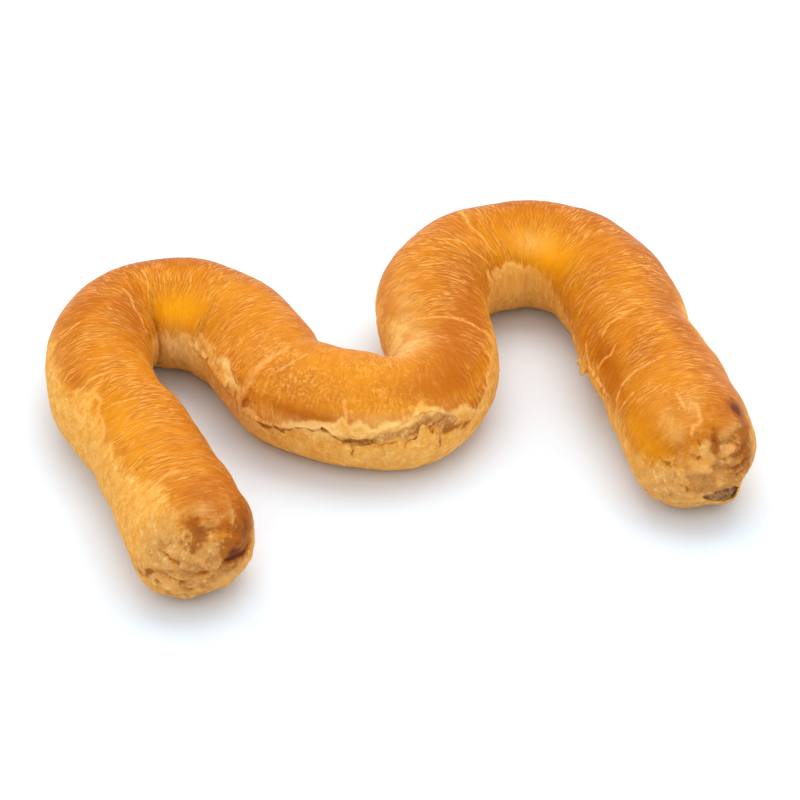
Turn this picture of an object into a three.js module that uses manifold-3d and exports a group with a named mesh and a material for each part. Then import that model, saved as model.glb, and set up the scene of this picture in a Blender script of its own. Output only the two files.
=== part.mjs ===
// Almond pastry letter: a roll of puff pastry round a core of almond paste, laid as a rounded M and baked.
// Millimetres, +Z up. The letter lies on the ground at z = 0 with +X along its feet and +Y up the letter.
// The crust is one shell with a blind tunnel, open at a small mouth in the right foot. The paste fills the tunnel.
import * as THREE from "three";
import { mergeVertices } from "three/addons/utils/BufferGeometryUtils.js";
import Module from "manifold-3d";

// What draws the middle of the roll in plan, from the left foot to the right foot, and its half-width there. The roll
// starts and ends on the first and last of these points and is drawn smoothly towards the others.
const STATIONS = [
  { name: "left foot", x: -86.5, y: -83.5, half: 23 },
  { name: "left leg, low", x: -93.5, y: -47, half: 22 },
  { name: "left leg, high", x: -92, y: -5, half: 20.2 },
  { name: "left arch, outside", x: -108, y: 38, half: 19.4 },
  { name: "left arch, top", x: -80, y: 80.5, half: 20.8 },
  { name: "left arch, inside", x: -35, y: 49.5, half: 21 },
  { name: "dip, left", x: -44.5, y: 6, half: 21.3 },
  { name: "dip, bottom", x: 8, y: -25.5, half: 21 },
  { name: "dip, right", x: 29.5, y: 12.5, half: 20.8 },
  { name: "right arch, inside", x: 26.5, y: 56, half: 21.2 },
  { name: "right arch, top", x: 75.5, y: 76.5, half: 20.8 },
  { name: "right arch, outside", x: 104, y: 38.5, half: 20.8 },
  { name: "right leg, high", x: 94.5, y: -7, half: 22.2 },
  { name: "right leg, low", x: 98.5, y: -42.5, half: 22.9 },
  { name: "right foot", x: 93.5, y: -88.5, half: 23.6 },
];

// Cross-section, as shares of the half-width.
const MIDDLE_HEIGHT = 0.92; // the roll's middle above the ground
const RISE = 0.98; // the crown above the middle
const TOP_ROUNDNESS = 2; // superellipse powers: a circle above, a fuller curve below
const UNDERSIDE_ROUNDNESS = 2.15;

// Feet: the roll closes over this length, round a point a little below the middle.
const LEFT_TIP = 21;
const RIGHT_TIP = 24;
const TIP_POWER = 2.3;
const TIP_HEIGHT = 0.85;
const PLEATS = 5;
const PLEAT_DEPTH = 1.1;
const PLEAT_TURN = 0.6;

// Unevenness of the baked roll.
const SWELLS = [
  { length: 87, height: 0.45, lean: 1.0 },
  { length: 41, height: 0.35, lean: -2.0 },
  { length: 23, height: 0.22, lean: 3.0 },
];

// Folds that the dough makes on the inside of its bends: middle, half-length and depth, and the angle of the inside.
const INNER_FOLDS = [
  { name: "left arch", at: 163, half: 9, depth: 2.8, inner: Math.PI },
  { name: "dip", at: 293, half: 10, depth: 3, inner: 0 },
  { name: "right arch", at: 386, half: 5, depth: 2, inner: Math.PI },
];
const FOLD_SPREAD = THREE.MathUtils.degToRad(60);

// Tears in the side of the crust, where the pastry split along its middle: their course along the roll, as a distance
// and an angle. Angles turn from the roll's left side over its top, so 180 is its right side.
const TEARS = [
  { name: "slope", width: 0.9, course: [[206, 172], [228, 171], [243, 182]] },
  { name: "dip, left", width: 1.4, course: [[240, 183], [249, 187], [258, 176], [266, 168], [270, 175], [275, 172]] },
  { name: "dip, right", width: 2.4, course: [[271, 173], [277, 172], [286, 167], [292, 157], [297, 170], [303, 179]] },
  { name: "right leg", width: 1.2, course: [[484, 190], [496, 188], [505, 191], [522, 190]] },
];
const TEAR_STEP = 3;
const TEAR_SIDES = 5;
const TEAR_JAG = 2; // degrees either way
const TEAR_JAG_LENGTH = 7.6;
const TEAR_LIP = 0.9; // how far the crust stands proud above the tear and sinks below it
const LIP_PEAK = Math.sqrt(2 * Math.E); // brings the peak of x exp(-x x) to 1
const TEAR_LIP_SPREAD = THREE.MathUtils.degToRad(20);
const TEAR_EASE = 8;

// Short splits that run down the side from the tear in the dip: where they start.
const SPLITS = [
  { at: 257, angle: 176 },
  { at: 273, angle: 166 },
  { at: 287, angle: 170 },
  { at: 295, angle: 172 },
];
const SPLIT_REACH = 16;
const SPLIT_WIDTH = 1.0;
const SPLIT_WANDER = 2;
const SPLIT_SHARES = [0, 0.5, 1];

// The paste core, and the mouth in the right foot where it shows.
const CORE_SHARE = 0.7;
const CORE_END_GAP = 9; // crust left at each foot
const CLEARANCE = 0.3;
const MOUTH_HALF_WIDTH = 7.2;
const MOUTH_HALF_HEIGHT = 3.8;
const MOUTH_HEIGHT = 13.2;
const MOUTH_SIDE = 6.6; // towards the roll's left, which is the letter's right
const MOUTH_DEPTH = 16;
const PASTE_RECESS = 2.2; // how far the paste stays inside the foot's end

// Faces.
const RING_SIDES = 32;
const ROLL_STEPS = 126;
const TIP_SHARE = 0.07; // share of the steps spent on each foot
const CORE_SIDES = 12;
const CORE_STEPS = 64;
const MOUTH_SIDES = 14;
const WELD = 1e-4;

// A uniform cubic B-spline that starts and ends on its first and last points.
class SmoothPath extends THREE.Curve {
  constructor(points) {
    super();
    const beyond = (end, next) => end.clone().multiplyScalar(2).sub(next);
    this.points = [beyond(points[0], points[1]), ...points, beyond(points.at(-1), points.at(-2))];
  }

  getPoint(t, target = new THREE.Vector3()) {
    const spans = this.points.length - 3;
    const span = Math.min(Math.floor(t * spans), spans - 1);
    const u = t * spans - span;
    const weights = [(1 - u) ** 3, 3 * u ** 3 - 6 * u ** 2 + 4, -3 * u ** 3 + 3 * u ** 2 + 3 * u + 1, u ** 3];
    target.set(0, 0, 0);
    weights.forEach((weight, i) => target.addScaledVector(this.points[span + i], weight / 6));
    return target;
  }
}

const roll = new SmoothPath(STATIONS.map(({ x, y, half }) => new THREE.Vector3(x, y, half)));
roll.arcLengthDivisions = 1200;
const ROLL_LENGTH = roll.getLength();

// The roll at a distance along it: its middle in plan, its half-width, and the directions along it and to its left.
function rollAt(s) {
  const share = THREE.MathUtils.clamp(s / ROLL_LENGTH, 0, 1);
  const point = roll.getPointAt(share);
  const along = roll.getTangentAt(share).setZ(0).normalize();
  return { x: point.x, y: point.y, half: point.z, along, left: new THREE.Vector3(-along.y, along.x, 0) };
}

// How far round each foot has closed at a distance from its tip, from 0 at the tip to 1.
const closing = (fromTip, length) =>
  Math.sqrt(1 - Math.pow(1 - THREE.MathUtils.clamp(fromTip / length, 0, 1), TIP_POWER));

const footShare = (s) => closing(s, LEFT_TIP) * closing(ROLL_LENGTH - s, RIGHT_TIP);

const hump = (distance, half) => Math.exp(-((distance / half) ** 2));

// The angle of a tear at a distance along the roll, in radians: straight runs between its points, with a small zigzag.
function tearAngle({ course }, s) {
  const ahead = course.findIndex(([at], i) => i > 0 && at > s);
  const next = ahead > 0 ? ahead : course.length - 1;
  const [from, fromAngle] = course[next - 1];
  const [to, toAngle] = course[next];
  const share = THREE.MathUtils.clamp((s - from) / (to - from), 0, 1);
  const zigzag = TEAR_JAG * Math.sin((2 * Math.PI * s) / TEAR_JAG_LENGTH);
  return THREE.MathUtils.degToRad(THREE.MathUtils.lerp(fromAngle, toAngle, share) + zigzag);
}

// How far the surface stands proud of the plain roll.
function relief(s, angle) {
  let height = 0;
  for (const { length, height: swell, lean } of SWELLS) {
    height += swell * Math.sin((2 * Math.PI * s) / length + lean * Math.cos(angle));
  }
  for (const { at, half, depth, inner } of INNER_FOLDS) {
    const round = Math.acos(Math.cos(angle - inner));
    height -= depth * hump(s - at, half) * hump(round, FOLD_SPREAD);
  }
  for (const tear of TEARS) {
    const above = (tearAngle(tear, s) - angle) / TEAR_LIP_SPREAD;
    const ends = Math.min(s - tear.course[0][0], tear.course.at(-1)[0] - s) / TEAR_EASE;
    height += TEAR_LIP * THREE.MathUtils.smoothstep(ends, 0, 1) * LIP_PEAK * above * Math.exp(-above * above);
  }
  const pleatFade = hump(s - LEFT_TIP / 3, LEFT_TIP / 2) + hump(ROLL_LENGTH - s - RIGHT_TIP / 3, RIGHT_TIP / 2);
  return height + PLEAT_DEPTH * pleatFade * Math.cos(PLEATS * angle + PLEAT_TURN);
}

// A point of the roll's cross-section at a share of its full size, with an extra height outwards.
function sectionPoint(s, angle, share, outwards) {
  const { x, y, half, left } = rollAt(s);
  const power = Math.sin(angle) > 0 ? TOP_ROUNDNESS : UNDERSIDE_ROUNDNESS;
  const reach = Math.pow(Math.abs(Math.cos(angle)) ** power + Math.abs(Math.sin(angle)) ** power, -1 / power);
  const radius = half * reach + outwards;
  const foot = footShare(s);
  const side = radius * Math.cos(angle) * share * foot;
  const plain = Math.max(0, half * MIDDLE_HEIGHT + radius * RISE * Math.sin(angle));
  const tipHeight = half * TIP_HEIGHT;
  const z = tipHeight + (plain - tipHeight) * share * foot;
  return new THREE.Vector3(x + left.x * side, y + left.y * side, z);
}

// Rows along the roll: close together at the feet, even between them.
function rowDistance(share) {
  if (share < TIP_SHARE) return LEFT_TIP * (1 - Math.cos((share / TIP_SHARE) * Math.PI * 0.5));
  if (share > 1 - TIP_SHARE) {
    return ROLL_LENGTH - RIGHT_TIP * (1 - Math.cos(((1 - share) / TIP_SHARE) * Math.PI * 0.5));
  }
  const middle = (share - TIP_SHARE) / (1 - 2 * TIP_SHARE);
  return THREE.MathUtils.lerp(LEFT_TIP, ROLL_LENGTH - RIGHT_TIP, middle);
}

// A sphere's grid drawn out along the roll: its poles become the tips of the two feet.
function drawnOut(sides, steps, place) {
  const blank = new THREE.SphereGeometry(1, sides, steps);
  const { position, uv } = blank.attributes;
  for (let i = 0; i < position.count; i++) {
    const point = place(1 - uv.getY(i), ((1 - uv.getX(i)) % 1) * 2 * Math.PI);
    position.setXYZ(i, point.x, point.y, point.z);
  }
  return blank;
}

const wasm = await Module();
wasm.setup();

// A geometry whose faces share their corners.
function welded(geometry) {
  const bare = geometry.clone();
  bare.deleteAttribute("normal");
  bare.deleteAttribute("uv");
  return mergeVertices(bare, WELD);
}

// A geometry with every face moved outwards.
function grown(geometry, distance) {
  const larger = welded(geometry);
  larger.computeVertexNormals();
  const { position, normal } = larger.attributes;
  for (let i = 0; i < position.count; i++) {
    position.setXYZ(
      i,
      position.getX(i) + normal.getX(i) * distance,
      position.getY(i) + normal.getY(i) * distance,
      position.getZ(i) + normal.getZ(i) * distance,
    );
  }
  return larger;
}

// A closed geometry as a solid that can be joined and cut.
function solidFrom(geometry) {
  const merged = welded(geometry);
  const corners = merged.index.array;
  const triVerts = [];
  for (let i = 0; i < corners.length; i += 3) {
    const [a, b, c] = corners.subarray(i, i + 3);
    if (a !== b && b !== c && c !== a) triVerts.push(a, b, c);
  }
  const vertProperties = merged.attributes.position.array;
  return new wasm.Manifold(new wasm.Mesh({ numProp: 3, vertProperties, triVerts: new Uint32Array(triVerts) }));
}

function geometryFrom(solid) {
  const { vertProperties, triVerts } = solid.getMesh();
  const geometry = new THREE.BufferGeometry();
  geometry.setAttribute("position", new THREE.BufferAttribute(vertProperties, 3));
  geometry.setIndex(new THREE.BufferAttribute(triVerts, 1));
  geometry.computeVertexNormals();
  return geometry;
}

function plainRoll() {
  return drawnOut(RING_SIDES, ROLL_STEPS, (share, angle) => {
    const s = rowDistance(share);
    return sectionPoint(s, angle, 1, relief(s, angle));
  });
}

function pasteCore() {
  return drawnOut(CORE_SIDES, CORE_STEPS, (share, angle) => {
    const end = ROLL_LENGTH - CORE_END_GAP;
    const s = THREE.MathUtils.lerp(CORE_END_GAP, end, (1 - Math.cos(share * Math.PI)) / 2);
    const rounded = Math.sqrt(closing(s - CORE_END_GAP, LEFT_TIP) * closing(end - s, RIGHT_TIP));
    return sectionPoint(s, angle, CORE_SHARE * rounded, 0);
  });
}

// An oval plug along the right foot's end, between two depths from its tip: the way into the tunnel, or the paste in it.
function mouthPlug(growth, from, to) {
  const { x, y, along, left } = rollAt(ROLL_LENGTH);
  const oval = new THREE.CylinderGeometry(1, 1, 1, MOUTH_SIDES);
  const matrix = new THREE.Matrix4().makeBasis(
    left.clone().multiplyScalar(MOUTH_HALF_WIDTH + growth),
    along.clone().multiplyScalar(to - from),
    new THREE.Vector3(0, 0, -MOUTH_HALF_HEIGHT - growth),
  );
  const depth = (from + to) / 2;
  matrix.setPosition(
    x + left.x * MOUTH_SIDE - along.x * depth,
    y + left.y * MOUTH_SIDE - along.y * depth,
    MOUTH_HEIGHT,
  );
  return oval.applyMatrix4(matrix);
}

// A groove of a few sides along points of the surface.
function groove(points, width) {
  const outline = new THREE.Shape();
  for (let i = 0; i < TEAR_SIDES; i++) {
    const turn = (2 * Math.PI * i) / TEAR_SIDES;
    if (i === 0) outline.moveTo(width, 0);
    else outline.lineTo(width * Math.cos(turn), width * Math.sin(turn));
  }
  outline.closePath();
  const extrudePath = new THREE.CatmullRomCurve3(points);
  return new THREE.ExtrudeGeometry(outline, { steps: 2 * points.length, extrudePath, bevelEnabled: false });
}

const surfacePoint = (s, angle) => sectionPoint(s, angle, 1, relief(s, angle));

function tearGroove(tear) {
  const from = tear.course[0][0];
  const to = tear.course.at(-1)[0];
  const count = Math.round((to - from) / TEAR_STEP);
  const points = [];
  for (let i = 0; i <= count; i++) {
    const s = THREE.MathUtils.lerp(from, to, i / count);
    points.push(surfacePoint(s, tearAngle(tear, s)));
  }
  return groove(points, tear.width);
}

function splitGroove({ at, angle }) {
  const points = SPLIT_SHARES.map((share) =>
    surfacePoint(
      at + SPLIT_WANDER * Math.sin(Math.PI * share + at),
      THREE.MathUtils.degToRad(angle + SPLIT_REACH * share),
    ),
  );
  return groove(points, SPLIT_WIDTH);
}

function crustSolid() {
  let crust = solidFrom(plainRoll());
  crust = crust.subtract(solidFrom(grown(pasteCore(), CLEARANCE)));
  crust = crust.subtract(solidFrom(mouthPlug(CLEARANCE, -CORE_END_GAP, MOUTH_DEPTH + CLEARANCE)));
  for (const tear of TEARS) crust = crust.subtract(solidFrom(tearGroove(tear)));
  for (const split of SPLITS) crust = crust.subtract(solidFrom(splitGroove(split)));
  return crust;
}

function pasteSolid() {
  const { along } = rollAt(ROLL_LENGTH);
  const sunkRoll = plainRoll().translate(-PASTE_RECESS * along.x, -PASTE_RECESS * along.y, 0);
  const plug = solidFrom(mouthPlug(0, 0, MOUTH_DEPTH)).intersect(solidFrom(sunkRoll));
  return solidFrom(pasteCore()).add(plug);
}

const goldenCrust = new THREE.MeshStandardMaterial({ color: 0xdc9138, roughness: 0.45, metalness: 0 });
const bakedPaste = new THREE.MeshStandardMaterial({ color: 0x9a7340, roughness: 0.9, metalness: 0 });

function piece(name, solid, material) {
  const mesh = new THREE.Mesh(geometryFrom(solid), material);
  mesh.name = name;
  return mesh;
}

const letter = new THREE.Group();
letter.name = "almond_pastry_letter";
letter.add(piece("pastry_crust", crustSolid(), goldenCrust));
letter.add(piece("almond_paste", pasteSolid(), bakedPaste));

export default letter;
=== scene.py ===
"""Almond pastry letter: a roll of puff pastry laid as a rounded M round a core of almond paste.

Lengths on the roll are in millimetres, distances run along it from the left foot to the right foot, and
angles turn in degrees from the roll's left side over its top. Meshes and the stage are in metres.
"""
import math

import bmesh
import bpy
import numpy as np
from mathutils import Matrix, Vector, noise


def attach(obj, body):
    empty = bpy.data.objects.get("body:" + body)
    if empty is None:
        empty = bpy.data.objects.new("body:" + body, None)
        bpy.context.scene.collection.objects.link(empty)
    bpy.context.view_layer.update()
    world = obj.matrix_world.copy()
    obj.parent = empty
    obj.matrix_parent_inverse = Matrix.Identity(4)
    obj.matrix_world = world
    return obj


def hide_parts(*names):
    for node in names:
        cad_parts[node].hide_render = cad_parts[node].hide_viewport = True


bl_info = {
    "name": "Almond pastry letter",
    "version": (1, 0, 0),
    "blender": (4, 5, 0),
    "location": "3D View > Sidebar > Pastry",
    "description": "Bakes a pastry letter: its crust, its almond paste, its torn flakes and a plain table",
    "category": "Object",
}

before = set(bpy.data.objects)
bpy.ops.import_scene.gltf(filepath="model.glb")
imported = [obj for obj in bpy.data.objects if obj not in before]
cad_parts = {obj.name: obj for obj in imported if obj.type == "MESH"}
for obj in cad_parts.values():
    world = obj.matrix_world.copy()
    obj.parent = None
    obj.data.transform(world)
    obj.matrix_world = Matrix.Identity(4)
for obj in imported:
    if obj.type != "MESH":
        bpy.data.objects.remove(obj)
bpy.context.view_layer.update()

MM = 0.001

# The middle of the roll in plan and its half-width, from the left foot to the right foot.
STATIONS = (
    (-86.5, -83.5, 23.0),
    (-93.5, -47.0, 22.0),
    (-92.0, -5.0, 20.2),
    (-108.0, 38.0, 19.4),
    (-80.0, 80.5, 20.8),
    (-35.0, 49.5, 21.0),
    (-44.5, 6.0, 21.3),
    (8.0, -25.5, 21.0),
    (29.5, 12.5, 20.8),
    (26.5, 56.0, 21.2),
    (75.5, 76.5, 20.8),
    (104.0, 38.5, 20.8),
    (94.5, -7.0, 22.2),
    (98.5, -42.5, 22.9),
    (93.5, -88.5, 23.6),
)
PATH_STEPS = 200

# Cross-section, as shares of the half-width, and the closing of the feet.
MIDDLE_HEIGHT = 0.92
RISE = 0.98
TOP_ROUNDNESS = 2.0
UNDERSIDE_ROUNDNESS = 2.15
LEFT_TIP = 21.0
RIGHT_TIP = 24.0
TIP_POWER = 2.3
TIP_HEIGHT = 0.85

# Unevenness of the baked roll: length, height and lean of each swell.
SWELLS = ((87.0, 0.45, 1.0), (41.0, 0.35, -2.0), (23.0, 0.22, 3.0))
# Folds inside the bends: where, half-length, depth and the angle of the inside.
INNER_FOLDS = ((163.0, 9.0, 2.8, 180.0), (293.0, 10.0, 3.0, 0.0), (386.0, 5.0, 2.0, 180.0))
FOLD_SPREAD = 60.0
PLEATS = 5
PLEAT_DEPTH = 0.6
PLEAT_TURN = 0.6
TEAR_LIP = 0.9
TEAR_LIP_SPREAD = 20.0
TEAR_EASE = 8.0
LIP_PEAK = math.sqrt(2 * math.e)
# Courses of the tears whose lips stand proud, as distance and angle.
LIPPED_TEARS = (
    ((206, 172), (228, 171), (243, 182)),
    ((240, 183), (249, 187), (258, 176), (266, 168), (270, 175), (275, 172)),
    ((271, 173), (277, 172), (286, 167), (292, 157), (297, 170), (303, 179)),
    ((484, 190), (496, 188), (505, 191), (522, 190)),
)

# The paste core, and the mouth in the right foot where it shows.
CORE_SHARE = 0.7
CORE_END_GAP = 9.0
CLEARANCE = 0.3
MOUTH_HALF_WIDTH = 7.3
MOUTH_SIDE = 6.7
MOUTH_TOP = (16.8, 0.1)
MOUTH_FOOT = (12.2, -0.5)
MOUTH_TEARS = ((0.25, 1.9), (0.15, 4.3))
MOUTH_ROUNDNESS = 0.6
MOUTH_DEPTH = 16.0
CORE_DEPTH = 21.0
PASTE_LEAN = 2.6

# Faces of the crust and of the paste.
SIDES = 118
DOME_ROWS = 44
MIDDLE_ROWS = 690
FOOT_ROWS = 42
CHANNEL_ROWS = 10
TUNNEL_ROWS = 28
PASTE_SIDES = 96
PASTE_CHANNEL_ROWS = 8
PASTE_TUNNEL_ROWS = 60
PASTE_CAP_ROWS = 46
MERGE = 0.02

# One degree round a middling roll.
DEGREE_MM = 21.0 * math.pi / 180.0
FAR = 30.0

# Where the egg wash ends on the roll's left side, as distance and angle.
LEFT_EDGE = (
    (0, 60), (12, 62), (24, 67), (32, 58), (45, 45), (59, 41), (72, 37), (85, 46), (93, 54), (102, 40),
    (109, 36), (123, 31), (128, 44), (134, 26), (160, 20), (200, 24), (260, 22), (300, 28), (312, 40),
    (325, 44), (337, 34), (345, 18), (390, 20), (440, 16), (480, 24), (498, 42), (512, 40), (524, 24),
    (550, 20), (562, 34), (578, 60),
)
# The same on its right side.
RIGHT_EDGE = (
    (0, 150), (11, 172), (60, 178), (130, 176), (150, 166), (170, 164), (184, 164), (197, 161),
    (208, 150), (227, 153), (234, 146), (238, 152), (241.5, 155), (242.5, 178), (247, 170), (250, 176),
    (255, 171), (262, 165), (266, 159), (270, 158), (271.5, 147), (273, 154), (276, 153), (280, 158),
    (283, 157), (288, 152), (290, 139), (294, 148), (298, 157), (303, 172), (305.5, 166), (310, 152),
    (323, 147), (345, 158), (367, 170), (377, 150), (393, 152), (418, 155), (430, 160), (439, 165),
    (453, 178), (468, 184), (488, 176), (505, 172), (515, 174), (551, 175), (564, 173), (569, 175),
    (571, 162), (575, 146), (578, 120),
)

# Pale creases in the glaze: half-width in millimetres and course, as distance and angle.
CREASES = (
    (0.42, ((128, 49), (129, 62), (131, 74))),
    (0.5, ((154, 98), (153, 111), (148, 123), (147, 133), (142, 151))),
    (0.42, ((166, 87), (166, 106), (162, 135), (159, 147))),
    (0.6, ((102, 40), (99, 51), (100, 61), (99, 77))),
    (0.34, ((110, 74), (109, 82), (108, 96))),
    (0.34, ((83, 64), (81, 78), (79, 96))),
    (0.6, ((93, 58), (88, 58), (85, 47), (78, 45), (72, 38))),
    (0.7, ((27, 58), (29, 66), (30, 76), (30, 88))),
    (0.5, ((24, 56), (21, 65))),
    (0.9, ((242, 174), (243, 148), (243, 135), (244, 121), (244, 111), (246, 99))),
    (0.34, ((249, 123), (252, 104), (254, 92))),
    (0.5, ((271.5, 132), (272, 142), (272.8, 152), (273, 164))),
    (0.46, ((393, 61), (391, 75), (388, 96), (389, 113), (389, 127), (391, 138))),
    (0.46, ((373, 91), (376, 104), (377, 111), (376, 120), (379, 132), (383, 145))),
    (0.46, ((329, 54), (326, 74), (325, 99), (325, 115), (324, 132), (326, 150))),
    (0.4, ((496, 158), (501, 167), (504, 170))),
    (0.46, ((509, 163), (509, 153), (511, 142), (509, 132))),
    (0.5, ((531, 162), (529, 145), (529, 132), (530, 113), (529, 100))),
    (0.42, ((508, 163), (511, 171), (521, 170), (526, 169))),
    (0.34, ((501, 140), (499, 127), (499, 116))),
    (0.34, ((471, 90), (470, 75), (469, 58))),
    (0.42, ((537, 164), (538, 152), (539, 140))),
    (0.4, ((553, 104), (558, 101), (562, 102))),
    (0.6, ((560, 91), (564, 90), (567, 91), (568, 99), (570, 103))),
)
CREASE_DEPTH = 0.3

# Cracks, darkened with painted shade in their depths: half-width and course.
CRACKS = (
    (0.2, ((206, 172), (213, 173), (222, 170), (229, 171), (238, 174))),
    (0.5, ((249, 182), (252.7, 180), (254.6, 184), (256.3, 179), (257.5, 175), (258.6, 173), (260.4, 172),
           (262.3, 171), (265.2, 169), (266.7, 164), (268.7, 168), (269.4, 173), (271.9, 176), (274, 178))),
    (0.2, ((240.1, 166), (240.3, 174), (240.7, 178), (240.9, 190))),
    (0.18, ((236, 150), (238, 153), (240, 158))),
    (0.2, ((274.2, 180), (274.6, 187), (274.3, 194))),
    (0.42, ((288.1, 185), (288.5, 178), (288.9, 173.3), (290.8, 168.3), (292, 164), (293.2, 162))),
    (0.18, ((293.6, 178), (293.4, 186), (293.6, 191))),
    (0.55, ((505, 173), (510, 175.5), (515, 175))),
    (0.3, ((484, 190), (490, 191), (496, 189), (503, 181))),
    (0.3, ((515, 175), (519, 181), (523, 189))),
    (0.3, ((143, 14), (148, 13), (153, 10), (158, 12), (164, 8), (172, 13), (178, 16))),
    (0.3, ((427, 12), (432, 9), (437, 6), (443, 9), (449, 5), (454, 10), (460, 12))),
    (0.25, ((501, 15), (506, 13), (511, 9), (516, 12), (522, 11), (527, 14))),
)
CRACK_DEPTH = 0.35
# Step and sway of the small bends in creases and in cracks.
CREASE_BENDS = (1.4, 0.35)
CRACK_BENDS = (0.6, 0.8)
# How far from a line its marks are worked out, and over what length its ends fade.
LINE_REACH = 8.0
LINE_FADE = 1.6

# The open tear in the dip, between its upper and its lower edge.
TEAR_TOP = (
    (272, 178), (274.2, 171), (275.8, 172), (277.5, 170.5), (279, 169.5), (280.6, 166), (283.3, 161.5),
    (287.4, 157.5), (289.9, 150), (291.8, 149), (293.3, 150.5), (294.9, 155), (296.4, 161), (297.4, 168),
)
TEAR_FOOT = (
    (272, 179), (274.8, 180.5), (277.7, 179.5), (280.6, 176.5), (283.3, 174.5), (285.8, 173.5),
    (287, 176), (288.5, 174.5), (289.7, 168.5), (291.4, 163), (292.2, 165), (294.3, 174), (295.4, 172),
    (297.4, 169),
)
TEAR_DEPTH = 0.5

# Roughness of bare pastry, and thickness of the glaze.
FLAKY_DEPTH = 0.2
GLAZE_THICKNESS = 0.1

# Browner stretches of glaze, partly browning and partly painted shade on the right-hand flanks and along the
# back edges: distance, angle, reach along, reach round in degrees, and amount.
BROWNED_AND_SHADED = (
    (14, 98, 12, 26, 0.4), (12, 142, 14, 26, 0.6), (42, 144, 34, 24, 0.65), (147, 112, 14, 18, 0.8),
    (136, 132, 14, 16, 0.5), (128, 62, 18, 20, 0.2), (190, 48, 46, 24, 0.4), (259, 155, 14, 8, 0.5),
    (273, 104, 30, 34, 0.2), (248, 107, 12, 22, 0.12), (60, 98, 44, 40, 0.1), (296, 128, 10, 20, 0.7),
    (316, 108, 18, 26, 0.8), (345, 122, 24, 24, 0.85), (378, 92, 14, 20, 0.25), (412, 98, 22, 20, 0.6),
    (400, 44, 30, 24, 0.4), (440, 56, 46, 26, 0.45), (466, 118, 18, 20, 0.25), (512, 150, 28, 16, 0.6),
    (521, 112, 16, 20, 0.45), (555, 106, 9, 16, 0.5), (556, 146, 14, 18, 0.15), (471, 60, 26, 12, 0.25),
    (556, 60, 16, 24, 0.6), (105, 52, 8, 10, 0.4), (169, 66, 34, 18, 0.5), (148, 82, 14, 16, 0.25),
    (405, 72, 40, 16, 0.2), (500, 62, 44, 16, 0.75), (56, 52, 8, 8, 0.3),
)
# Yellower glaze, mostly inside the bends, where it is painted bounce light, in the same terms.
GOLDEN_AND_BOUNCE_LIGHT = (
    (182, 142, 18, 22, 1.05), (425, 140, 26, 22, 0.9), (410, 98, 20, 14, 0.2), (195, 176, 18, 12, 0.5),
    (404, 180, 20, 14, 0.5), (273, 104, 20, 20, 0.3), (282, 140, 14, 12, 0.2), (560, 154, 16, 14, 0.4),
    (70, 60, 30, 20, 0.3), (213, 177, 16, 14, 0.6),
)
# Paler stretches, in the same terms: pale dough by the tears, painted light inside the bends where shade
# falls, and painted sheen on the right slope.
PALED_AND_LIT = (
    (190, 180, 26, 18, 1.1), (264, 168, 14, 7, 0.9), (284, 152, 12, 7, 0.6), (272, 204, 34, 22, 0.12),
    (303, 62, 13, 18, 1.2), (342, 55, 16, 14, 0.35), (326, 40, 14, 22, 0.5), (404, 184, 24, 18, 0.35),
    (418, 132, 12, 12, 0.65), (560, 96, 8, 10, 0.3), (160, 17, 16, 6, 0.6), (443, 14, 14, 6, 0.6),
    (514, 17, 12, 6, 0.5), (207.6, 163.5, 3.5, 4.5, 0.9), (217.8, 166, 3.0, 4.0, 0.9),
    (232, 151, 3.5, 4.0, 0.9), (237, 160, 3.0, 4.0, 0.9),
)
# Stretches of bare dough that dried to a tan, in the same terms.
TANNED = (
    (286, 200, 14, 16, 0.6), (299, 176, 5, 10, 0.5), (124, -16, 26, 18, 0.45), (196, -14, 24, 16, 0.4),
    (420, -18, 34, 18, 0.45), (500, -16, 30, 18, 0.45), (538, 6, 12, 14, 0.3),
)
# Where the glaze ends crisply rather than thinning out, in the same terms.
CRISP = (
    (266, 160, 34, 24, 1.0), (190, 165, 22, 20, 0.7), (385, 150, 14, 16, 0.4), (408, 156, 20, 18, 0.8),
    (298, 165, 14, 24, 0.4),
)
# Where the glaze is pebbled rather than wrinkled, in the same terms.
PEBBLED = (
    (268, 110, 32, 60, 0.8), (235, 120, 18, 50, 0.2), (556, 110, 14, 40, 0.6),
)
# Where the glaze is smooth, in the same terms.
SMOOTH = (
    (512, 152, 30, 16, 0.7), (298, 130, 10, 20, 0.7), (260, 154, 16, 8, 0.9), (170, 80, 22, 16, 0.4),
    (560, 150, 14, 18, 0.8), (318, 110, 14, 20, 0.5), (410, 95, 16, 18, 0.7), (425, 145, 24, 24, 0.65),
    (182, 145, 16, 20, 0.5),
)
# Spots that browned through, and painted shade in pits, along cracks and inside the tear, in the same terms.
BURNS_AND_SHADE = (
    (382, 152, 1.5, 4.5, 0.8), (382.5, 158, 1.6, 4.5, 0.8), (244.5, 164, 1.6, 4.0, 0.8),
    (244, 170, 1.2, 3.5, 0.7), (276.6, 175, 3.0, 3.4, 1.25), (273.2, 176, 2.0, 4.0, 1.1),
    (295.1, 175, 2.6, 5.0, 1.2), (250, 183.5, 1.9, 5.0, 1.25), (253.8, 180.5, 1.5, 4.0, 1.1),
    (267, 167.5, 2.0, 2.8, 1.0), (299.3, 180.5, 1.6, 5.5, 0.8), (294.6, 160, 1.4, 3.0, 0.4),
    (291, 148.5, 1.5, 2.5, 0.4), (303, 172, 1.8, 5.0, 0.4), (559.4, 52, 3.2, 8.0, 2.6),
    (153, 9.5, 1.6, 3.0, 0.9), (164, 7.5, 1.2, 2.4, 0.8), (437, 5.5, 1.3, 2.6, 0.8),
    (449, 4.5, 1.7, 3.0, 1.0), (511, 8.5, 1.4, 3.0, 0.8), (204.5, 172, 0.9, 3.5, 0.9),
    (201.4, 163.5, 0.8, 3.0, 0.7), (230.7, 173.7, 1.6, 2.0, 0.8), (234, 171.6, 0.8, 2.4, 0.9),
)
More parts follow.
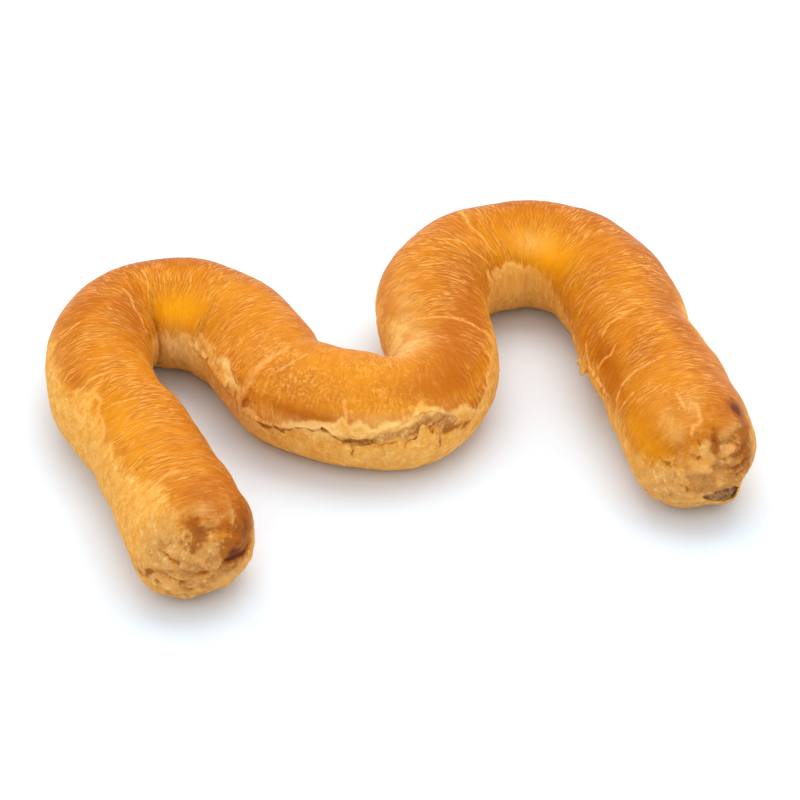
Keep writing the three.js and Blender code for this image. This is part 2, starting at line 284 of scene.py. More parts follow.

# Marks on the left and the right foot's end: across, height, half-width, half-height and amount.
# Spots that browned through, and painted shade in the folds, in the pits and on the right-hand sides of the
# ends.
FOOT_BURNS_AND_SHADE = {
    "L": (
        (5.7, 37.5, 3.2, 1.8, 0.85), (4.6, 33.6, 2.4, 2.8, 1.1), (7.4, 28.8, 1.4, 2.4, 0.7),
        (-6.6, 26.6, 4.4, 3.4, 1.3), (-14.6, 28.0, 4.0, 7.0, 1.4), (-12.2, 21.0, 2.6, 1.4, 2.3),
        (-8.5, 21.7, 3.0, 1.2, 2.4), (-4.8, 22.0, 2.4, 1.0, 1.5), (20.9, 18.8, 0.9, 0.9, 1.4),
        (18.7, 15.2, 1.2, 1.0, 1.1), (15.1, 21.3, 1.2, 0.9, 0.7), (21.8, 16.0, 1.0, 4.0, 0.9),
        (4.5, 18.8, 3.2, 1.6, 0.8), (-5.5, 18.6, 4.5, 1.6, 0.4), (-1.0, 32.0, 9.0, 6.0, 0.28),
        (-13.0, 33.0, 5.0, 6.0, 0.35), (12.0, 15.6, 1.6, 1.1, 0.6), (9.0, 11.5, 1.6, 0.9, 0.5),
        (9.5, 31.5, 3.2, 4.0, 0.5), (-6.5, 23.8, 5.0, 1.8, 1.5), (-6.0, 19.5, 4.5, 2.5, 0.25),
    ),
    "R": (
        (4.0, 36.2, 1.4, 2.8, 1.7), (3.2, 33.4, 2.0, 1.2, 1.0), (-1.6, 36.4, 0.7, 1.4, 1.0),
        (-2.8, 31.3, 1.8, 1.1, 1.0), (-13.0, 28.4, 3.6, 1.3, 0.8), (16.0, 33.0, 3.5, 5.0, 1.1),
        (17.0, 24.0, 3.0, 5.0, 0.75), (10.6, 9.0, 1.8, 1.2, 1.5), (-8.0, 18.5, 3.0, 2.0, 0.35),
        (3.0, 26.5, 1.2, 1.2, 0.5), (11.0, 24.6, 3.0, 1.0, 0.5), (9.0, 30.0, 3.0, 1.0, 0.45),
        (13.0, 30.0, 4.0, 7.0, 0.3), (-2.0, 18.0, 2.4, 2.0, 0.5), (-12.0, 14.5, 3.0, 1.2, 0.4),
    ),
}
FOOT_TANS = {
    "L": (
        (11.0, 17.5, 9.0, 7.0, 1.0), (3.0, 25.0, 8.0, 6.0, 0.9), (6.5, 19.6, 3.0, 1.8, 1.4),
        (-6.5, 17.0, 6.0, 3.5, 0.8), (0.0, 34.4, 5.0, 1.6, 0.6), (3.0, 10.0, 10.0, 5.0, 0.6),
        (15.0, 30.5, 5.0, 4.0, 0.6), (-6.0, 19.5, 4.5, 2.5, 0.8), (-2.5, 13.0, 5.0, 4.0, 0.7),
    ),
    "R": (
        (9.5, 33.0, 7.0, 6.0, 1.0), (13.0, 25.0, 6.0, 6.0, 1.0), (3.0, 26.5, 5.0, 4.0, 0.7),
        (-7.0, 18.5, 8.0, 5.0, 0.7), (6.0, 19.5, 7.0, 2.6, 1.8), (-10.0, 10.0, 9.0, 5.0, 0.5),
        (3.0, 24.5, 6.0, 3.0, 1.2), (-3.5, 21.5, 4.0, 4.0, 0.9), (15.5, 32.0, 4.5, 6.0, 1.1),
        (15.0, 24.0, 4.0, 5.0, 0.9),
    ),
}
# Pale crumbs, and painted highlights on the lumps, ridges and rims of the ends.
FOOT_PALES_AND_HIGHLIGHTS = {
    "L": (
        (15.0, 23.6, 3.4, 1.4, 0.9), (2.0, 40.0, 6.0, 1.8, 0.5), (-3.0, 36.6, 5.0, 0.9, 0.5),
        (-9.8, 34.6, 1.0, 3.4, 0.9), (14.5, 14.0, 3.0, 2.0, 0.6), (-6.5, 17.2, 4.5, 2.0, 0.4),
        (8.5, 22.8, 2.5, 1.2, 0.5), (12.0, 32.0, 4.0, 3.0, 0.1),
    ),
    "R": (
        (8.6, 36.6, 2.0, 2.2, 0.2), (6.0, 20.2, 6.5, 1.8, 0.1), (-9.5, 38.0, 3.5, 3.0, 0.5),
        (-6.0, 29.5, 4.0, 1.6, 0.5), (-1.0, 33.4, 2.0, 1.6, 0.15), (-14.0, 22.0, 4.0, 1.4, 0.4),
    ),
}
# Swellings and hollows of the ends, with a height for the amount.
FOOT_LUMPS = {
    "L": (
        (-7.0, 27.4, 3.6, 3.2, 1.5), (15.0, 23.8, 3.6, 1.7, 1.0), (6.5, 19.8, 3.2, 2.0, -1.0),
        (4.6, 34.0, 2.6, 3.6, -0.7), (2.0, 40.4, 5.0, 2.4, 0.5), (-7.0, 17.4, 5.0, 2.8, 0.9),
        (17.0, 17.6, 1.7, 1.6, 0.9), (13.4, 13.6, 1.9, 1.6, 0.9), (18.4, 12.4, 1.5, 1.2, 0.7),
        (9.4, 14.8, 1.6, 1.3, 0.7), (20.6, 20.2, 0.9, 0.9, -0.9), (-3.0, 36.8, 5.0, 1.2, 0.7),
        (17.0, 7.0, 6.0, 5.0, 1.2), (4.0, 4.0, 6.0, 4.0, 0.7),
    ),
    "R": (
        (8.6, 36.6, 2.3, 2.5, 1.0), (4.2, 36.2, 1.5, 3.0, -0.8), (-9.5, 37.5, 5.0, 4.0, 0.6),
        (6.0, 19.8, 7.5, 2.0, 0.9), (-3.2, 31.4, 1.4, 1.1, -0.8), (12.5, 27.2, 4.0, 1.8, 0.6),
        (11.0, 31.6, 4.0, 1.5, 0.5), (-5.0, 28.6, 5.0, 2.0, 0.6), (19.5, 11.0, 4.0, 5.0, -2.2),
        (12.5, 5.0, 4.5, 3.0, 1.3),
    ),
}
# Folds over the ends: half-width, depth, strength of the painted shade in the crease, and course as across
# and height.
FOOT_FOLDS = {
    "L": (
        (0.6, 0.9, 0.8, ((17.6, 27.6), (15.7, 26.4), (12.6, 24.4))),
        (0.9, 1.0, 0.5, ((-16.5, 19.4), (-12.5, 21.0), (-8.0, 21.4), (-3.5, 21.8))),
        (1.1, 0.9, 0.3, ((4.0, 35.0), (-1.0, 34.2), (-6.0, 33.0), (-10.0, 30.4))),
        (0.8, 0.7, 0.3, ((11.0, 20.4), (7.0, 18.2), (3.0, 18.6))),
        (0.7, 0.8, 0.5, ((20.5, 20.0), (17.0, 19.2), (14.0, 17.0), (11.5, 15.6))),
        (0.7, 0.7, 0.4, ((18.0, 11.0), (13.5, 11.2), (9.0, 12.4), (5.0, 12.0))),
        (0.8, 0.6, 0.2, ((-2.0, 20.5), (0.5, 17.0), (2.0, 13.0))),
    ),
    "R": (
        (0.8, 0.7, 0.3, ((5.4, 38.6), (5.8, 35.4), (8.0, 33.8), (11.0, 34.2), (13.0, 36.0))),
        (0.7, 0.7, 0.3, ((3.4, 31.6), (7.0, 29.6), (11.0, 29.0), (15.0, 30.4))),
        (0.7, 0.7, 0.3, ((2.4, 28.0), (6.5, 26.0), (11.0, 24.6), (15.5, 25.6))),
        (0.8, 0.8, 0.4, ((-1.0, 23.6), (4.0, 23.2), (9.0, 22.6), (14.5, 21.0))),
        (0.6, 0.5, 0.3, ((-7.0, 25.4), (-2.0, 25.6), (2.0, 24.6))),
        (0.6, 0.6, 0.3, ((-13.0, 21.6), (-8.5, 20.6), (-5.0, 18.0), (-3.0, 15.0))),
        (0.5, 0.3, 0.1, ((0.5, 20.4), (6.0, 19.2), (12.0, 17.9))),
    ),
}
# Pits and knobs along the roll: distance, angle, radius and height.
LUMPS = (
    (201, 166, 1.0, -1.3), (206, 172, 1.1, -1.2), (230, 165, 1.2, -0.6), (382, 154, 2.2, -0.7),
    (255, 190, 5.0, 0.4), (305, 176, 2.0, -0.4), (249, 178, 1.8, -0.6), (508, 174, 1.6, -0.8),
    (513, 175, 1.4, -0.8), (559, 51, 2.6, -0.5),
)

# Thin torn leaves: lift of the torn edge, and courses of the root and of the edge, as distance and angle.
LEAVES = (
    (0.35, ((246, 173), (256, 168), (266, 158), (272.4, 160)),
     ((246, 180), (252.7, 177), (256.3, 176), (258.6, 171), (262.3, 169), (265.2, 167), (266.7, 162.5),
      (268.7, 166), (269.4, 170), (272, 173))),
    (0.4, ((273.4, 160), (278, 156), (284, 147), (290, 137), (293.5, 142)),
     ((273.6, 168), (277, 169), (280, 163.5), (284.7, 156), (288.5, 150), (290.2, 146), (293, 148))),
    (0.35, ((274.8, 192), (280, 190), (285, 188)),
     ((274.8, 181), (278, 177.5), (282, 175.5), (285, 174))),
    (0.5, ((286.5, 191), (293.2, 194)),
     ((287, 174), (288.6, 170.5), (289.6, 166.5), (291.4, 163.8), (292.6, 167))),
    (0.6, ((250, 147), (250, 163), (248, 177)), ((244.6, 147), (245, 163), (243.6, 179))),
    (0.6, ((206, 158), (222, 158)), ((206, 168), (213, 171), (222, 167))),
    (0.7, ((224, 156), (237, 154)), ((224, 166), (229, 170), (237, 168))),
    (2.0, ((493, 177), (501, 178)), ((494, 188), (497, 192), (500.5, 187))),
    (0.8, ((503, 166), (517, 166)), ((503, 172), (510, 174), (517, 173))),
    (0.6, ((148, 24), (158, 22), (172, 24)), ((148, 14), (153, 11), (158, 13), (164, 9), (172, 14))),
    (0.6, ((432, 20), (444, 22), (454, 20)), ((432, 10), (437, 7), (443, 10), (449, 6), (454, 11))),
    (0.5, ((506, 24), (522, 24)), ((506, 14), (511, 10), (516, 13), (522, 12))),
)
LEAF_THICKNESS = 0.35
LEAF_STEP = 0.45
LEAF_DEPTH_STEPS = 9
LEAF_SUNK = 0.7
LISTING = Vector((1.0, 0.37, 0.13))

# Steps for measuring the crust's slope, for spacing rows and for going round a foot's end.
SLOPE_STEP = 0.004
PACE_STEPS = 4000
END_STEPS = 721
TINY = 1e-9

# Reach of each foot's marks from its tip, how uneven they are, and reach of crumpled and of bare pastry.
END_REACH = {"L": 22.0, "R": 24.0}
END_WARP = 0.9
END_WARP_SIZE = 3.6
CRUMPLED_REACH = 26.0
BARE_REACH = 9.0

# Finishes that are the same all over a piece.
DULL_SPECULAR = 0.04
PASTE_ROUGHNESS = 0.75
TABLE_ROUGHNESS = 0.9
TABLE_SHADE = 0.985

# The stage, in metres, and the camera's sensor in millimetres.
TABLE_HALF = 2.5
TABLE_GAP = 0.0002
SKY_COLOUR = (0.95, 0.97, 1.0, 1.0)
LAMP_COLOUR = (1.0, 0.97, 0.92)
LAMP_SIZE = (1.6, 1.2)
LAMP_PLACE = (0.25, 0.55, 1.7)
SENSOR_WIDTH = 36.0


def srgb(red, green, blue):
    """A screen colour from 0 to 255 as the linear colour that a shader takes."""
    shares = (value / 255.0 for value in (red, green, blue))
    return tuple(c / 12.92 if c <= 0.04045 else ((c + 0.055) / 1.055) ** 2.4 for c in shares)


# The roll's form


class Roll:
    """The roll's middle line: a uniform cubic B-spline from its first station to its last."""

    def __init__(self, stations):
        points = np.array(stations)
        points = np.vstack([2 * points[0] - points[1], points, 2 * points[-1] - points[-2]])
        u = np.linspace(0, 1, PATH_STEPS, endpoint=False)[:, None]
        weights = ((1 - u) ** 3, 3 * u**3 - 6 * u**2 + 4, -3 * u**3 + 3 * u**2 + 3 * u + 1, u**3)
        spans = [sum(w * points[i + k] for k, w in enumerate(weights)) / 6 for i in range(len(points) - 3)]
        self.path = np.vstack(spans + [points[-2:-1]])
        steps = np.linalg.norm(np.diff(self.path, axis=0), axis=1)
        self.along = np.concatenate([[0.0], np.cumsum(steps)])
        self.length = self.along[-1]
        self.heading = np.gradient(self.path[:, :2], self.along, axis=0)

    def at(self, s):
        """Middle x and y, half-width and unit heading at distances along the roll."""
        s = np.clip(s, 0, self.length)
        x, y, half = (np.interp(s, self.along, self.path[:, k]) for k in range(3))
        tx, ty = (np.interp(s, self.along, self.heading[:, k]) for k in range(2))
        size = np.hypot(tx, ty)
        return x, y, half, tx / size, ty / size


ROLL = Roll(STATIONS)


def closing(from_tip, length):
    """How far round a foot has closed at a distance from its tip, from 0 to 1."""
    return np.sqrt(1 - (1 - np.clip(from_tip / length, 0, 1)) ** TIP_POWER)


def foot_share(s):
    return closing(s, LEFT_TIP) * closing(ROLL.length - s, RIGHT_TIP)


def hump(distance, half):
    return np.exp(-((distance / half) ** 2))


def eased(value):
    value = np.clip(value, 0, 1)
    return value * value * (3 - 2 * value)


def course_at(course, s):
    """The angle of a course at distances along the roll."""
    return np.interp(s, [at for at, _ in course], [angle for _, angle in course])


def outline(half, angle, outwards=0.0):
    """Side and height of the cross-section at angles in degrees."""
    turn = np.radians(angle)
    power = np.where(np.sin(turn) > 0, TOP_ROUNDNESS, UNDERSIDE_ROUNDNESS)
    reach = (np.abs(np.cos(turn)) ** power + np.abs(np.sin(turn)) ** power) ** (-1 / power)
    radius = half * reach + outwards
    return radius * np.cos(turn), np.maximum(0, half * MIDDLE_HEIGHT + radius * RISE * np.sin(turn))


def section(s, angle, share=1.0, outwards=0.0):
    """Points of the roll, in millimetres, at a share of its full size."""
    x, y, half, tx, ty = ROLL.at(s)
    side, height = outline(half, angle, outwards)
    drawn = share * foot_share(s)
    tip = half * TIP_HEIGHT
    return np.stack([x - ty * side * drawn, y + tx * side * drawn, tip + (height - tip) * drawn], -1)


def relief(s, angle):
    """How far the baked roll stands proud of its plain section: swells, folds, lips of tears and pleats."""
    turn = np.radians(angle)
    height = np.zeros(np.broadcast(s, angle).shape)
    for length, swell, lean in SWELLS:
        height += swell * np.sin(2 * np.pi * s / length + lean * np.cos(turn))
    for at, half, depth, inner in INNER_FOLDS:
        from_inner = np.degrees(np.arccos(np.cos(turn - math.radians(inner))))
        height -= depth * hump(s - at, half) * hump(from_inner, FOLD_SPREAD)
    for course in LIPPED_TEARS:
        above = (course_at(course, s) - angle) / TEAR_LIP_SPREAD
        ends = np.minimum(s - course[0][0], course[-1][0] - s) / TEAR_EASE
        height += TEAR_LIP * eased(ends) * LIP_PEAK * above * np.exp(-above * above)
    fade = hump(s - LEFT_TIP / 3, LEFT_TIP / 2) + hump(ROLL.length - s - RIGHT_TIP / 3, RIGHT_TIP / 2)
    return height + PLEAT_DEPTH * fade * np.cos(PLEATS * turn + PLEAT_TURN)


def unit(vectors):
    """Vectors brought to a length of one."""
    return vectors / np.maximum(np.linalg.norm(vectors, axis=-1, keepdims=True), TINY)


def lifted(place, first, second, lift):
    """Points of a surface raised off it; place gives a point for a pair of numbers."""
    here = place(first, second)
    out = np.cross(place(first, second + SLOPE_STEP) - here, place(first + SLOPE_STEP, second) - here)
    return here + unit(out) * lift[..., None]


def crust_place(s, angle):
    return section(s, angle, 1.0, relief(s, angle))


def noise_at(points, size, seed=0.0, octaves=1):
    """Smooth noise from about -1 to 1 at points, with features of one size or of a size along each axis."""
    scaled = points / np.array(size) + seed
    if octaves == 1:
        values = [noise.noise(p) for p in scaled.reshape(-1, 3).tolist()]
    else:
        values = [noise.fractal(p, 0.8, 2.1, octaves) for p in scaled.reshape(-1, 3).tolist()]
    return np.array(values).reshape(scaled.shape[:-1])


def paced(low, high, count, pace):
    """Values from low to high, closer together where pace is larger."""
    fine = np.linspace(low, high, PACE_STEPS)
    walked = np.concatenate([[0.0], np.cumsum(pace(fine[1:]))])
    return np.interp(np.linspace(0, walked[-1], count), walked, fine)


def mouth_rim(angle, growth=0.0):
    """Across and height of the mouth's rim: a torn wedge that opens towards the foot's outer side."""
    turn = np.radians(angle)
    across = MOUTH_SIDE + (MOUTH_HALF_WIDTH + growth) * np.cos(turn)
    top = MOUTH_TOP[0] + MOUTH_TOP[1] * across
    for depth, pace in MOUTH_TEARS:
        top = top + depth * np.sin(pace * across)
    foot = MOUTH_FOOT[0] + MOUTH_FOOT[1] * across
    up = np.sin(turn)
    reach = np.sign(up) * np.abs(up) ** MOUTH_ROUNDNESS
    return np.stack([across, (top + foot) / 2 + ((top - foot) / 2 + growth) * reach], -1)


def on_end(flat):
    """Points of the right foot's end at places across and up it, and their distance and angle on the roll."""
    start = ROLL.length - RIGHT_TIP
    half = float(ROLL.at(start)[2])
    tip = np.array([0.0, half * TIP_HEIGHT])
    fine = np.linspace(-180, 180, END_STEPS)
    edge = np.stack(outline(half, fine, relief(start, fine)), -1) - tip
    seen = np.unwrap(np.arctan2(edge[:, 1], edge[:, 0]))
    out = flat - tip
    turn = np.arctan2(out[..., 1], out[..., 0])
    reach = np.interp(turn, seen, np.linalg.norm(edge, axis=1), period=2 * np.pi)
    shift = np.interp(turn, seen, np.radians(fine) - seen, period=2 * np.pi)
    part = np.clip(np.linalg.norm(out, axis=-1) / reach, 0, 1)
    s = ROLL.length - RIGHT_TIP * (1 - (1 - part**2) ** (1 / TIP_POWER))
    x, y, _, tx, ty = ROLL.at(s)
    points = np.stack([x - ty * flat[..., 0], y + tx * flat[..., 0], flat[..., 1]], -1)
    on_roll = np.degrees(turn + shift)
    return points, s, np.where(on_roll < -90, on_roll + 360, on_roll)


def foot_end(angle, share):
    """The right foot's end, from its full section at share 0 to the mouth's rim at share 1."""
    start = ROLL.length - RIGHT_TIP
    ring = np.stack(outline(float(ROLL.at(start)[2]), angle, relief(start, angle)), -1)
    return on_end(ring + (mouth_rim(angle) - ring) * share[..., None])


def outward(points):
    """Unit normals of a grid of points whose last column repeats its first."""
    body = points[:, :-1]
    round_roll = np.roll(body, -1, 1) - np.roll(body, 1, 1)
    out = unit(np.cross(round_roll, np.gradient(body, axis=0)))
    out[0] = out[1].mean(0)
    return np.concatenate([out, out[:, :1]], 1)


# What lies on the crust


def wavy(course, step, sway):
    """A course on the unrolled crust, in millimetres, with small bends between its points."""
    knots = np.array(course, float) * (1.0, DEGREE_MM)
    walked = np.concatenate([[0], np.cumsum(np.hypot(*np.diff(knots, axis=0).T))])
    at = np.linspace(0, walked[-1], max(2, int(walked[-1] / step) + 1))
    line = np.stack([np.interp(at, walked, knots[:, k]) for k in range(2)], -1)
    inside = np.minimum(1, 4 * np.minimum(at, walked[-1] - at) / walked[-1])
    for k in range(2):
        sways = [noise.fractal((a / 3.1, 7.7 * k, knots[0, 0]), 0.6, 2.3, 3) for a in at]
        line[:, k] += sway * inside * np.array(sways)
    return line


def from_line(line, here):
    """Signed distance of places from a line, and how far past the ends of its runs they are."""
    nearest = np.full(len(here), FAR)
    hand = np.ones(len(here))
    past = np.zeros(len(here))
    for start, end in zip(line[:-1], line[1:]):
        run = end - start
        reach = (here - start) @ run / (run @ run)
        share = np.clip(reach, 0, 1)
        off = here - start - share[:, None] * run
        gap = np.hypot(off[:, 0], off[:, 1])
        nearer = gap < nearest
        nearest = np.where(nearer, gap, nearest)
        hand = np.where(nearer, np.sign(run[0] * off[:, 1] - run[1] * off[:, 0]), hand)
        past = np.where(nearer, np.abs(reach - share) * np.hypot(*run), past)
    return nearest * hand, past


def line_distance(course, s, angle, jagged):
    """Signed distance from a course on the unrolled crust, and how far past its ends a point is."""
    line = wavy(course, *(CRACK_BENDS if jagged else CREASE_BENDS))
    near = (s > line[:, 0].min() - LINE_REACH) & (s < line[:, 0].max() + LINE_REACH)
    distance = np.full(s.shape, FAR)
    past = np.zeros(s.shape)
    distance[near], past[near] = from_line(line, np.stack([s[near], angle[near] * DEGREE_MM], -1))
    return distance, past


def nearest_line(lines, s, angle, jagged):
    """Signed distance to the nearest line in multiples of its half-width, and how strongly the line shows."""
    best = np.full(s.shape, FAR)
    strength = np.zeros(s.shape)
    for half, course in lines:
        distance, past = line_distance(course, s, angle, jagged)
        gap = distance / half
        shows = eased(1 - past / LINE_FADE) * eased((7 - np.abs(gap)) / 3)
        nearer = np.abs(gap) < np.abs(best)
        best = np.where(nearer, gap, best)
        strength = np.where(nearer, shows, strength)
    return best, strength


def patches(marks, s, angle):
    """Sum of soft patches at a distance and angle, with a reach along and a reach round."""
    total = np.zeros(s.shape)
    for at, middle, along, round_roll, amount in marks:
        total += amount * hump(s - at, along) * hump(angle - middle, round_roll)
    return total


def spots(marks, points):
    """Soft round marks of a radius and amount, each at a distance and angle on the roll."""
    total = np.zeros(points.shape[:-1])
    for at, angle, radius, amount in marks:
        middle = crust_place(np.array(float(at)), np.array(float(angle)))
        total += amount * hump(np.linalg.norm(points - middle, axis=-1), radius)
    return total


def straight(s, angle):
    """The place of a point on the roll if it were laid straight, for patterns that run round it."""
    turn = np.radians(angle)
    drawn = DEGREE_MM * 180 / np.pi * foot_share(s)
    return np.stack(np.broadcast_arrays(s, drawn * np.cos(turn), drawn * np.sin(turn)), -1)


def torn_open(s, angle):
    """How far inside the open tear a point is, in millimetres, less than nothing outside it."""
    line = np.stack(np.broadcast_arrays(s, 0.0, 0.0), -1)
    jag = 3.0 * noise_at(line, (2.6, 1, 1), 5.3) + 1.6 * noise_at(line, (1.1, 1, 1), 2.9)
    below_top = (angle - course_at(TEAR_TOP, s) + jag) * DEGREE_MM
    above_foot = (course_at(TEAR_FOOT, s) - angle + jag) * DEGREE_MM
    ends = np.minimum(s - TEAR_TOP[0][0], TEAR_TOP[-1][0] - s)
    return np.clip(np.minimum(np.minimum(below_top, above_foot), ends), -FAR, FAR)


class EndView:
    """Points as seen on the end of the nearer foot, warped a little so that marks there are uneven."""

    def __init__(self, s, points):
        to_end = ROLL.length - s
        x, y, _, tx, ty = ROLL.at(np.where(s < to_end, 0.0, ROLL.length))
        self.near = {"L": eased(1.6 - s / END_REACH["L"]), "R": eased(1.6 - to_end / END_REACH["R"])}
        self.across = (points[..., 1] - y) * tx - (points[..., 0] - x) * ty
        self.across += END_WARP * noise_at(points, END_WARP_SIZE, 6.1)
        self.up = points[..., 2] + END_WARP * noise_at(points, END_WARP_SIZE, 8.7)

    def dabs(self, marks):
        """Sum of soft marks on the ends."""
        total = np.zeros(self.up.shape)
        for foot, rows in marks.items():
            for across, up, wide, tall, amount in rows:
                shown = amount * self.near[foot] * hump(self.across - across, wide)
                total += shown * hump(self.up - up, tall)
        return total

    def fold(self, foot, half, course):
        """Distance from a fold on an end, in multiples of its half-width."""
        near = self.near[foot] > 0
        away = np.full(self.up.shape, FAR)
        distance, _ = from_line(np.array(course), np.stack([self.across[near], self.up[near]], -1))
        away[near] = np.abs(distance) / half
        return away

    def folded(self):
        """Height of all the folds on the ends, and the painted shade in their creases."""
        height = np.zeros(self.up.shape)
        hollow_shade = np.zeros(self.up.shape)
        for foot, rows in FOOT_FOLDS.items():
            for half, depth, fold_shade, course in rows:
                away = self.fold(foot, half, course)
                height += depth * self.near[foot] * (0.45 * hump(away - 2.2, 1.2) - hump(away, 1.0))
                # Painted shade in the fold's crease.
                hollow_shade += fold_shade * self.near[foot] * hump(away, 1.0)
        return height, hollow_shade


def crust_marks(s, angle, points):
    """What the crust's material and fine relief need at each point."""
    laid = straight(s, angle)
    to_end = ROLL.length - s
    view = EndView(s, points)
    foot = eased(1.25 - np.minimum(s, to_end) / CRUMPLED_REACH)
    upper = 0.4 + 0.6 * eased((angle - 25) / 40)
    glazed = np.minimum(angle - course_at(LEFT_EDGE, s), course_at(RIGHT_EDGE, s) - angle) * DEGREE_MM
    tongues = noise_at(laid, (4.2, 15, 15), 3.3) * 3.0 + noise_at(laid, (9, 16, 16), 8.1) * 2.0
    blotch = 0.75 + 0.6 * noise_at(points, 5, 5.5)
    bare_left = eased(1.05 - s / BARE_REACH) * eased((150 - angle) / 30)
    bare_right = eased(1.2 - to_end / BARE_REACH) * eased((135 - angle) / 30)
    glazed = glazed * foot_share(s) + tongues - 10 * blotch * (bare_left + bare_right)
    knobs = np.abs(noise_at(points, 7.5, 9.2)) - 0.25 + 0.5 * noise_at(points, 2.8, 3.9)
    crease, creased = nearest_line(CREASES, s, angle, False)
    crack, cracked = nearest_line(CRACKS, s, angle, True)
    folds, hollow_shade = view.folded()
    return {
        "roll": laid,
        "glaze": np.clip(glazed, -FAR, FAR),
        "crisp": patches(CRISP, s, angle),
        "pebbled": patches(PEBBLED, s, angle),
        "wrinkled": np.clip(1 - patches(SMOOTH, s, angle), 0, 1) * (1 - 0.5 * foot) * upper,
        # Browning, with painted shade on the right-hand flanks and along the back edges.
        "brown": 0.3 + 0.14 * noise_at(points, 24, 1.7, 3) + patches(BROWNED_AND_SHADED, s, angle) + 0.15 * foot,
        # Painted bounce light inside the bends.
        "golden": patches(GOLDEN_AND_BOUNCE_LIGHT, s, angle),
        # Pale dough by the tears, with painted light inside the bends, painted sheen, and painted highlights
        # on the feet's lumps.
        "pale": patches(PALED_AND_LIT, s, angle) + view.dabs(FOOT_PALES_AND_HIGHLIGHTS),
        # Spots that browned through, with painted shade in pits, folds and the tear.
        "burn": patches(BURNS_AND_SHADE, s, angle) + view.dabs(FOOT_BURNS_AND_SHADE) + hollow_shade,
        "tan": view.dabs(FOOT_TANS) + patches(TANNED, s, angle),
        "knobs": knobs * foot,
        "crease": crease,
        "creased": creased,
        "crack": crack,
        "cracked": cracked,
        "open": torn_open(s, angle),
        "foot": foot,
        "lumps": view.dabs(FOOT_LUMPS) + folds + spots(LUMPS, points),
    }


def fine_relief(marks, points, settings):
    """Height of the fine relief over the baked roll, in millimetres."""
    laid = marks["roll"]
    glazed = eased(0.5 + marks["glaze"] / 2)
    ripple = noise_at(laid, (3.4, 16, 16), 2.2) + 0.6 * noise_at(laid, (1.9, 9, 9), 6.4)
    flaky = noise_at(points, 2.6, 4.4, 3)
    height = settings.ripple_depth / MM * ripple * (1 - 0.6 * marks["foot"]) * (0.5 + 0.5 * glazed)
    height += FLAKY_DEPTH * flaky * (1 - 0.7 * glazed) + GLAZE_THICKNESS * glazed
    height += settings.crumple_depth / MM * marks["knobs"] * (0.55 + 0.45 * np.minimum(1, marks["tan"]))
    crease = np.abs(marks["crease"])
    height += CREASE_DEPTH * (0.5 * hump(crease - 1.8, 1.0) - hump(crease, 1.1)) * glazed * marks["creased"]
    height -= CRACK_DEPTH * hump(marks["crack"], 1.5) * marks["cracked"]
    torn = 0.4 * noise_at(laid, (3.4, 1.3, 1.3), 7.1) + 0.5 * noise_at(points, 1.6, 2.8)
    height -= (TEAR_DEPTH + torn) * eased(marks["open"] / 0.9 + 0.3)
    return height + marks["lumps"]


# Meshes


def add_grid(bm, points, marks):
    """Adds a grid of faces with its points in millimetres and a value of each mark, and gives its corners."""
    rows, columns = points.shape[:2]
    kinds = bm.verts.layers
    layers = []
    for mark, values in marks.items():
        kind = kinds.float_vector if values.ndim == 3 else kinds.float
        layers.append((mark, kind, values.tolist()))
        if mark not in kind:
            kind.new(mark)
    made = bmesh.ops.create_grid(bm, x_segments=rows - 1, y_segments=columns - 1, size=0.5)["verts"]
    places = (points * MM).tolist()
    layers = [(kind[mark], values) for mark, kind, values in layers]
    for vert in made:
        row = round((vert.co.x + 0.5) * (rows - 1))
        column = round((vert.co.y + 0.5) * (columns - 1))
        vert.co = places[row][column]
        for layer, values in layers:
            vert[layer] = values[row][column]
    return made


def finished(name, bm):
    """A smooth mesh from a piece's faces, with its seams and ends closed."""
    bmesh.ops.remove_doubles(bm, verts=bm.verts, dist=MERGE * MM)
    bmesh.ops.recalc_face_normals(bm, faces=bm.faces)
    mesh = bpy.data.meshes.new(name)
    bm.to_mesh(mesh)
    bm.free()
    mesh.shade_smooth()
    return mesh


def new_piece(name, mesh, material, nodes=()):
    """Adds a piece that rides with the letter, takes a finish, and may stand for solids of the frame."""
    mesh.materials.append(material)
    piece = bpy.data.objects.new(name, mesh)
    bpy.context.scene.collection.objects.link(piece)
    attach(piece, "root")
    if nodes:
        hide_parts(*nodes)


def side_pace(angle):
    """Points round the roll lie closer on the torn side, and further apart underneath."""
    return 1.0 + 0.9 * ((angle > 145) & (angle < 192)) - 0.4 * ((angle < -50) | (angle > 230))


def row_pace(s):
    """Rows along the roll lie closer by the tears in the dip."""
    return 1.0 + 1.1 * ((s > 238) & (s < 304))


def core_pace(s):
    """Rings of the core lie closer towards its closed end."""
    return 1 + 8 * hump(s, 30)


def foot_heading():
    """The way that the right foot points."""
    *_, tx, ty = ROLL.at(np.array(ROLL.length))
    return np.array([tx, ty, 0.0])


def mouth_lip(sides, share):
    """How far the mouth's upper rim and its outer corner stand forward, in millimetres."""
    above = np.maximum(0, np.sin(np.radians(sides)))
    upper = above**0.5 * eased((share - 0.55) / 0.45)
    return upper + 0.9 * hump(sides - 30, 26) * eased((share - 0.7) / 0.3)


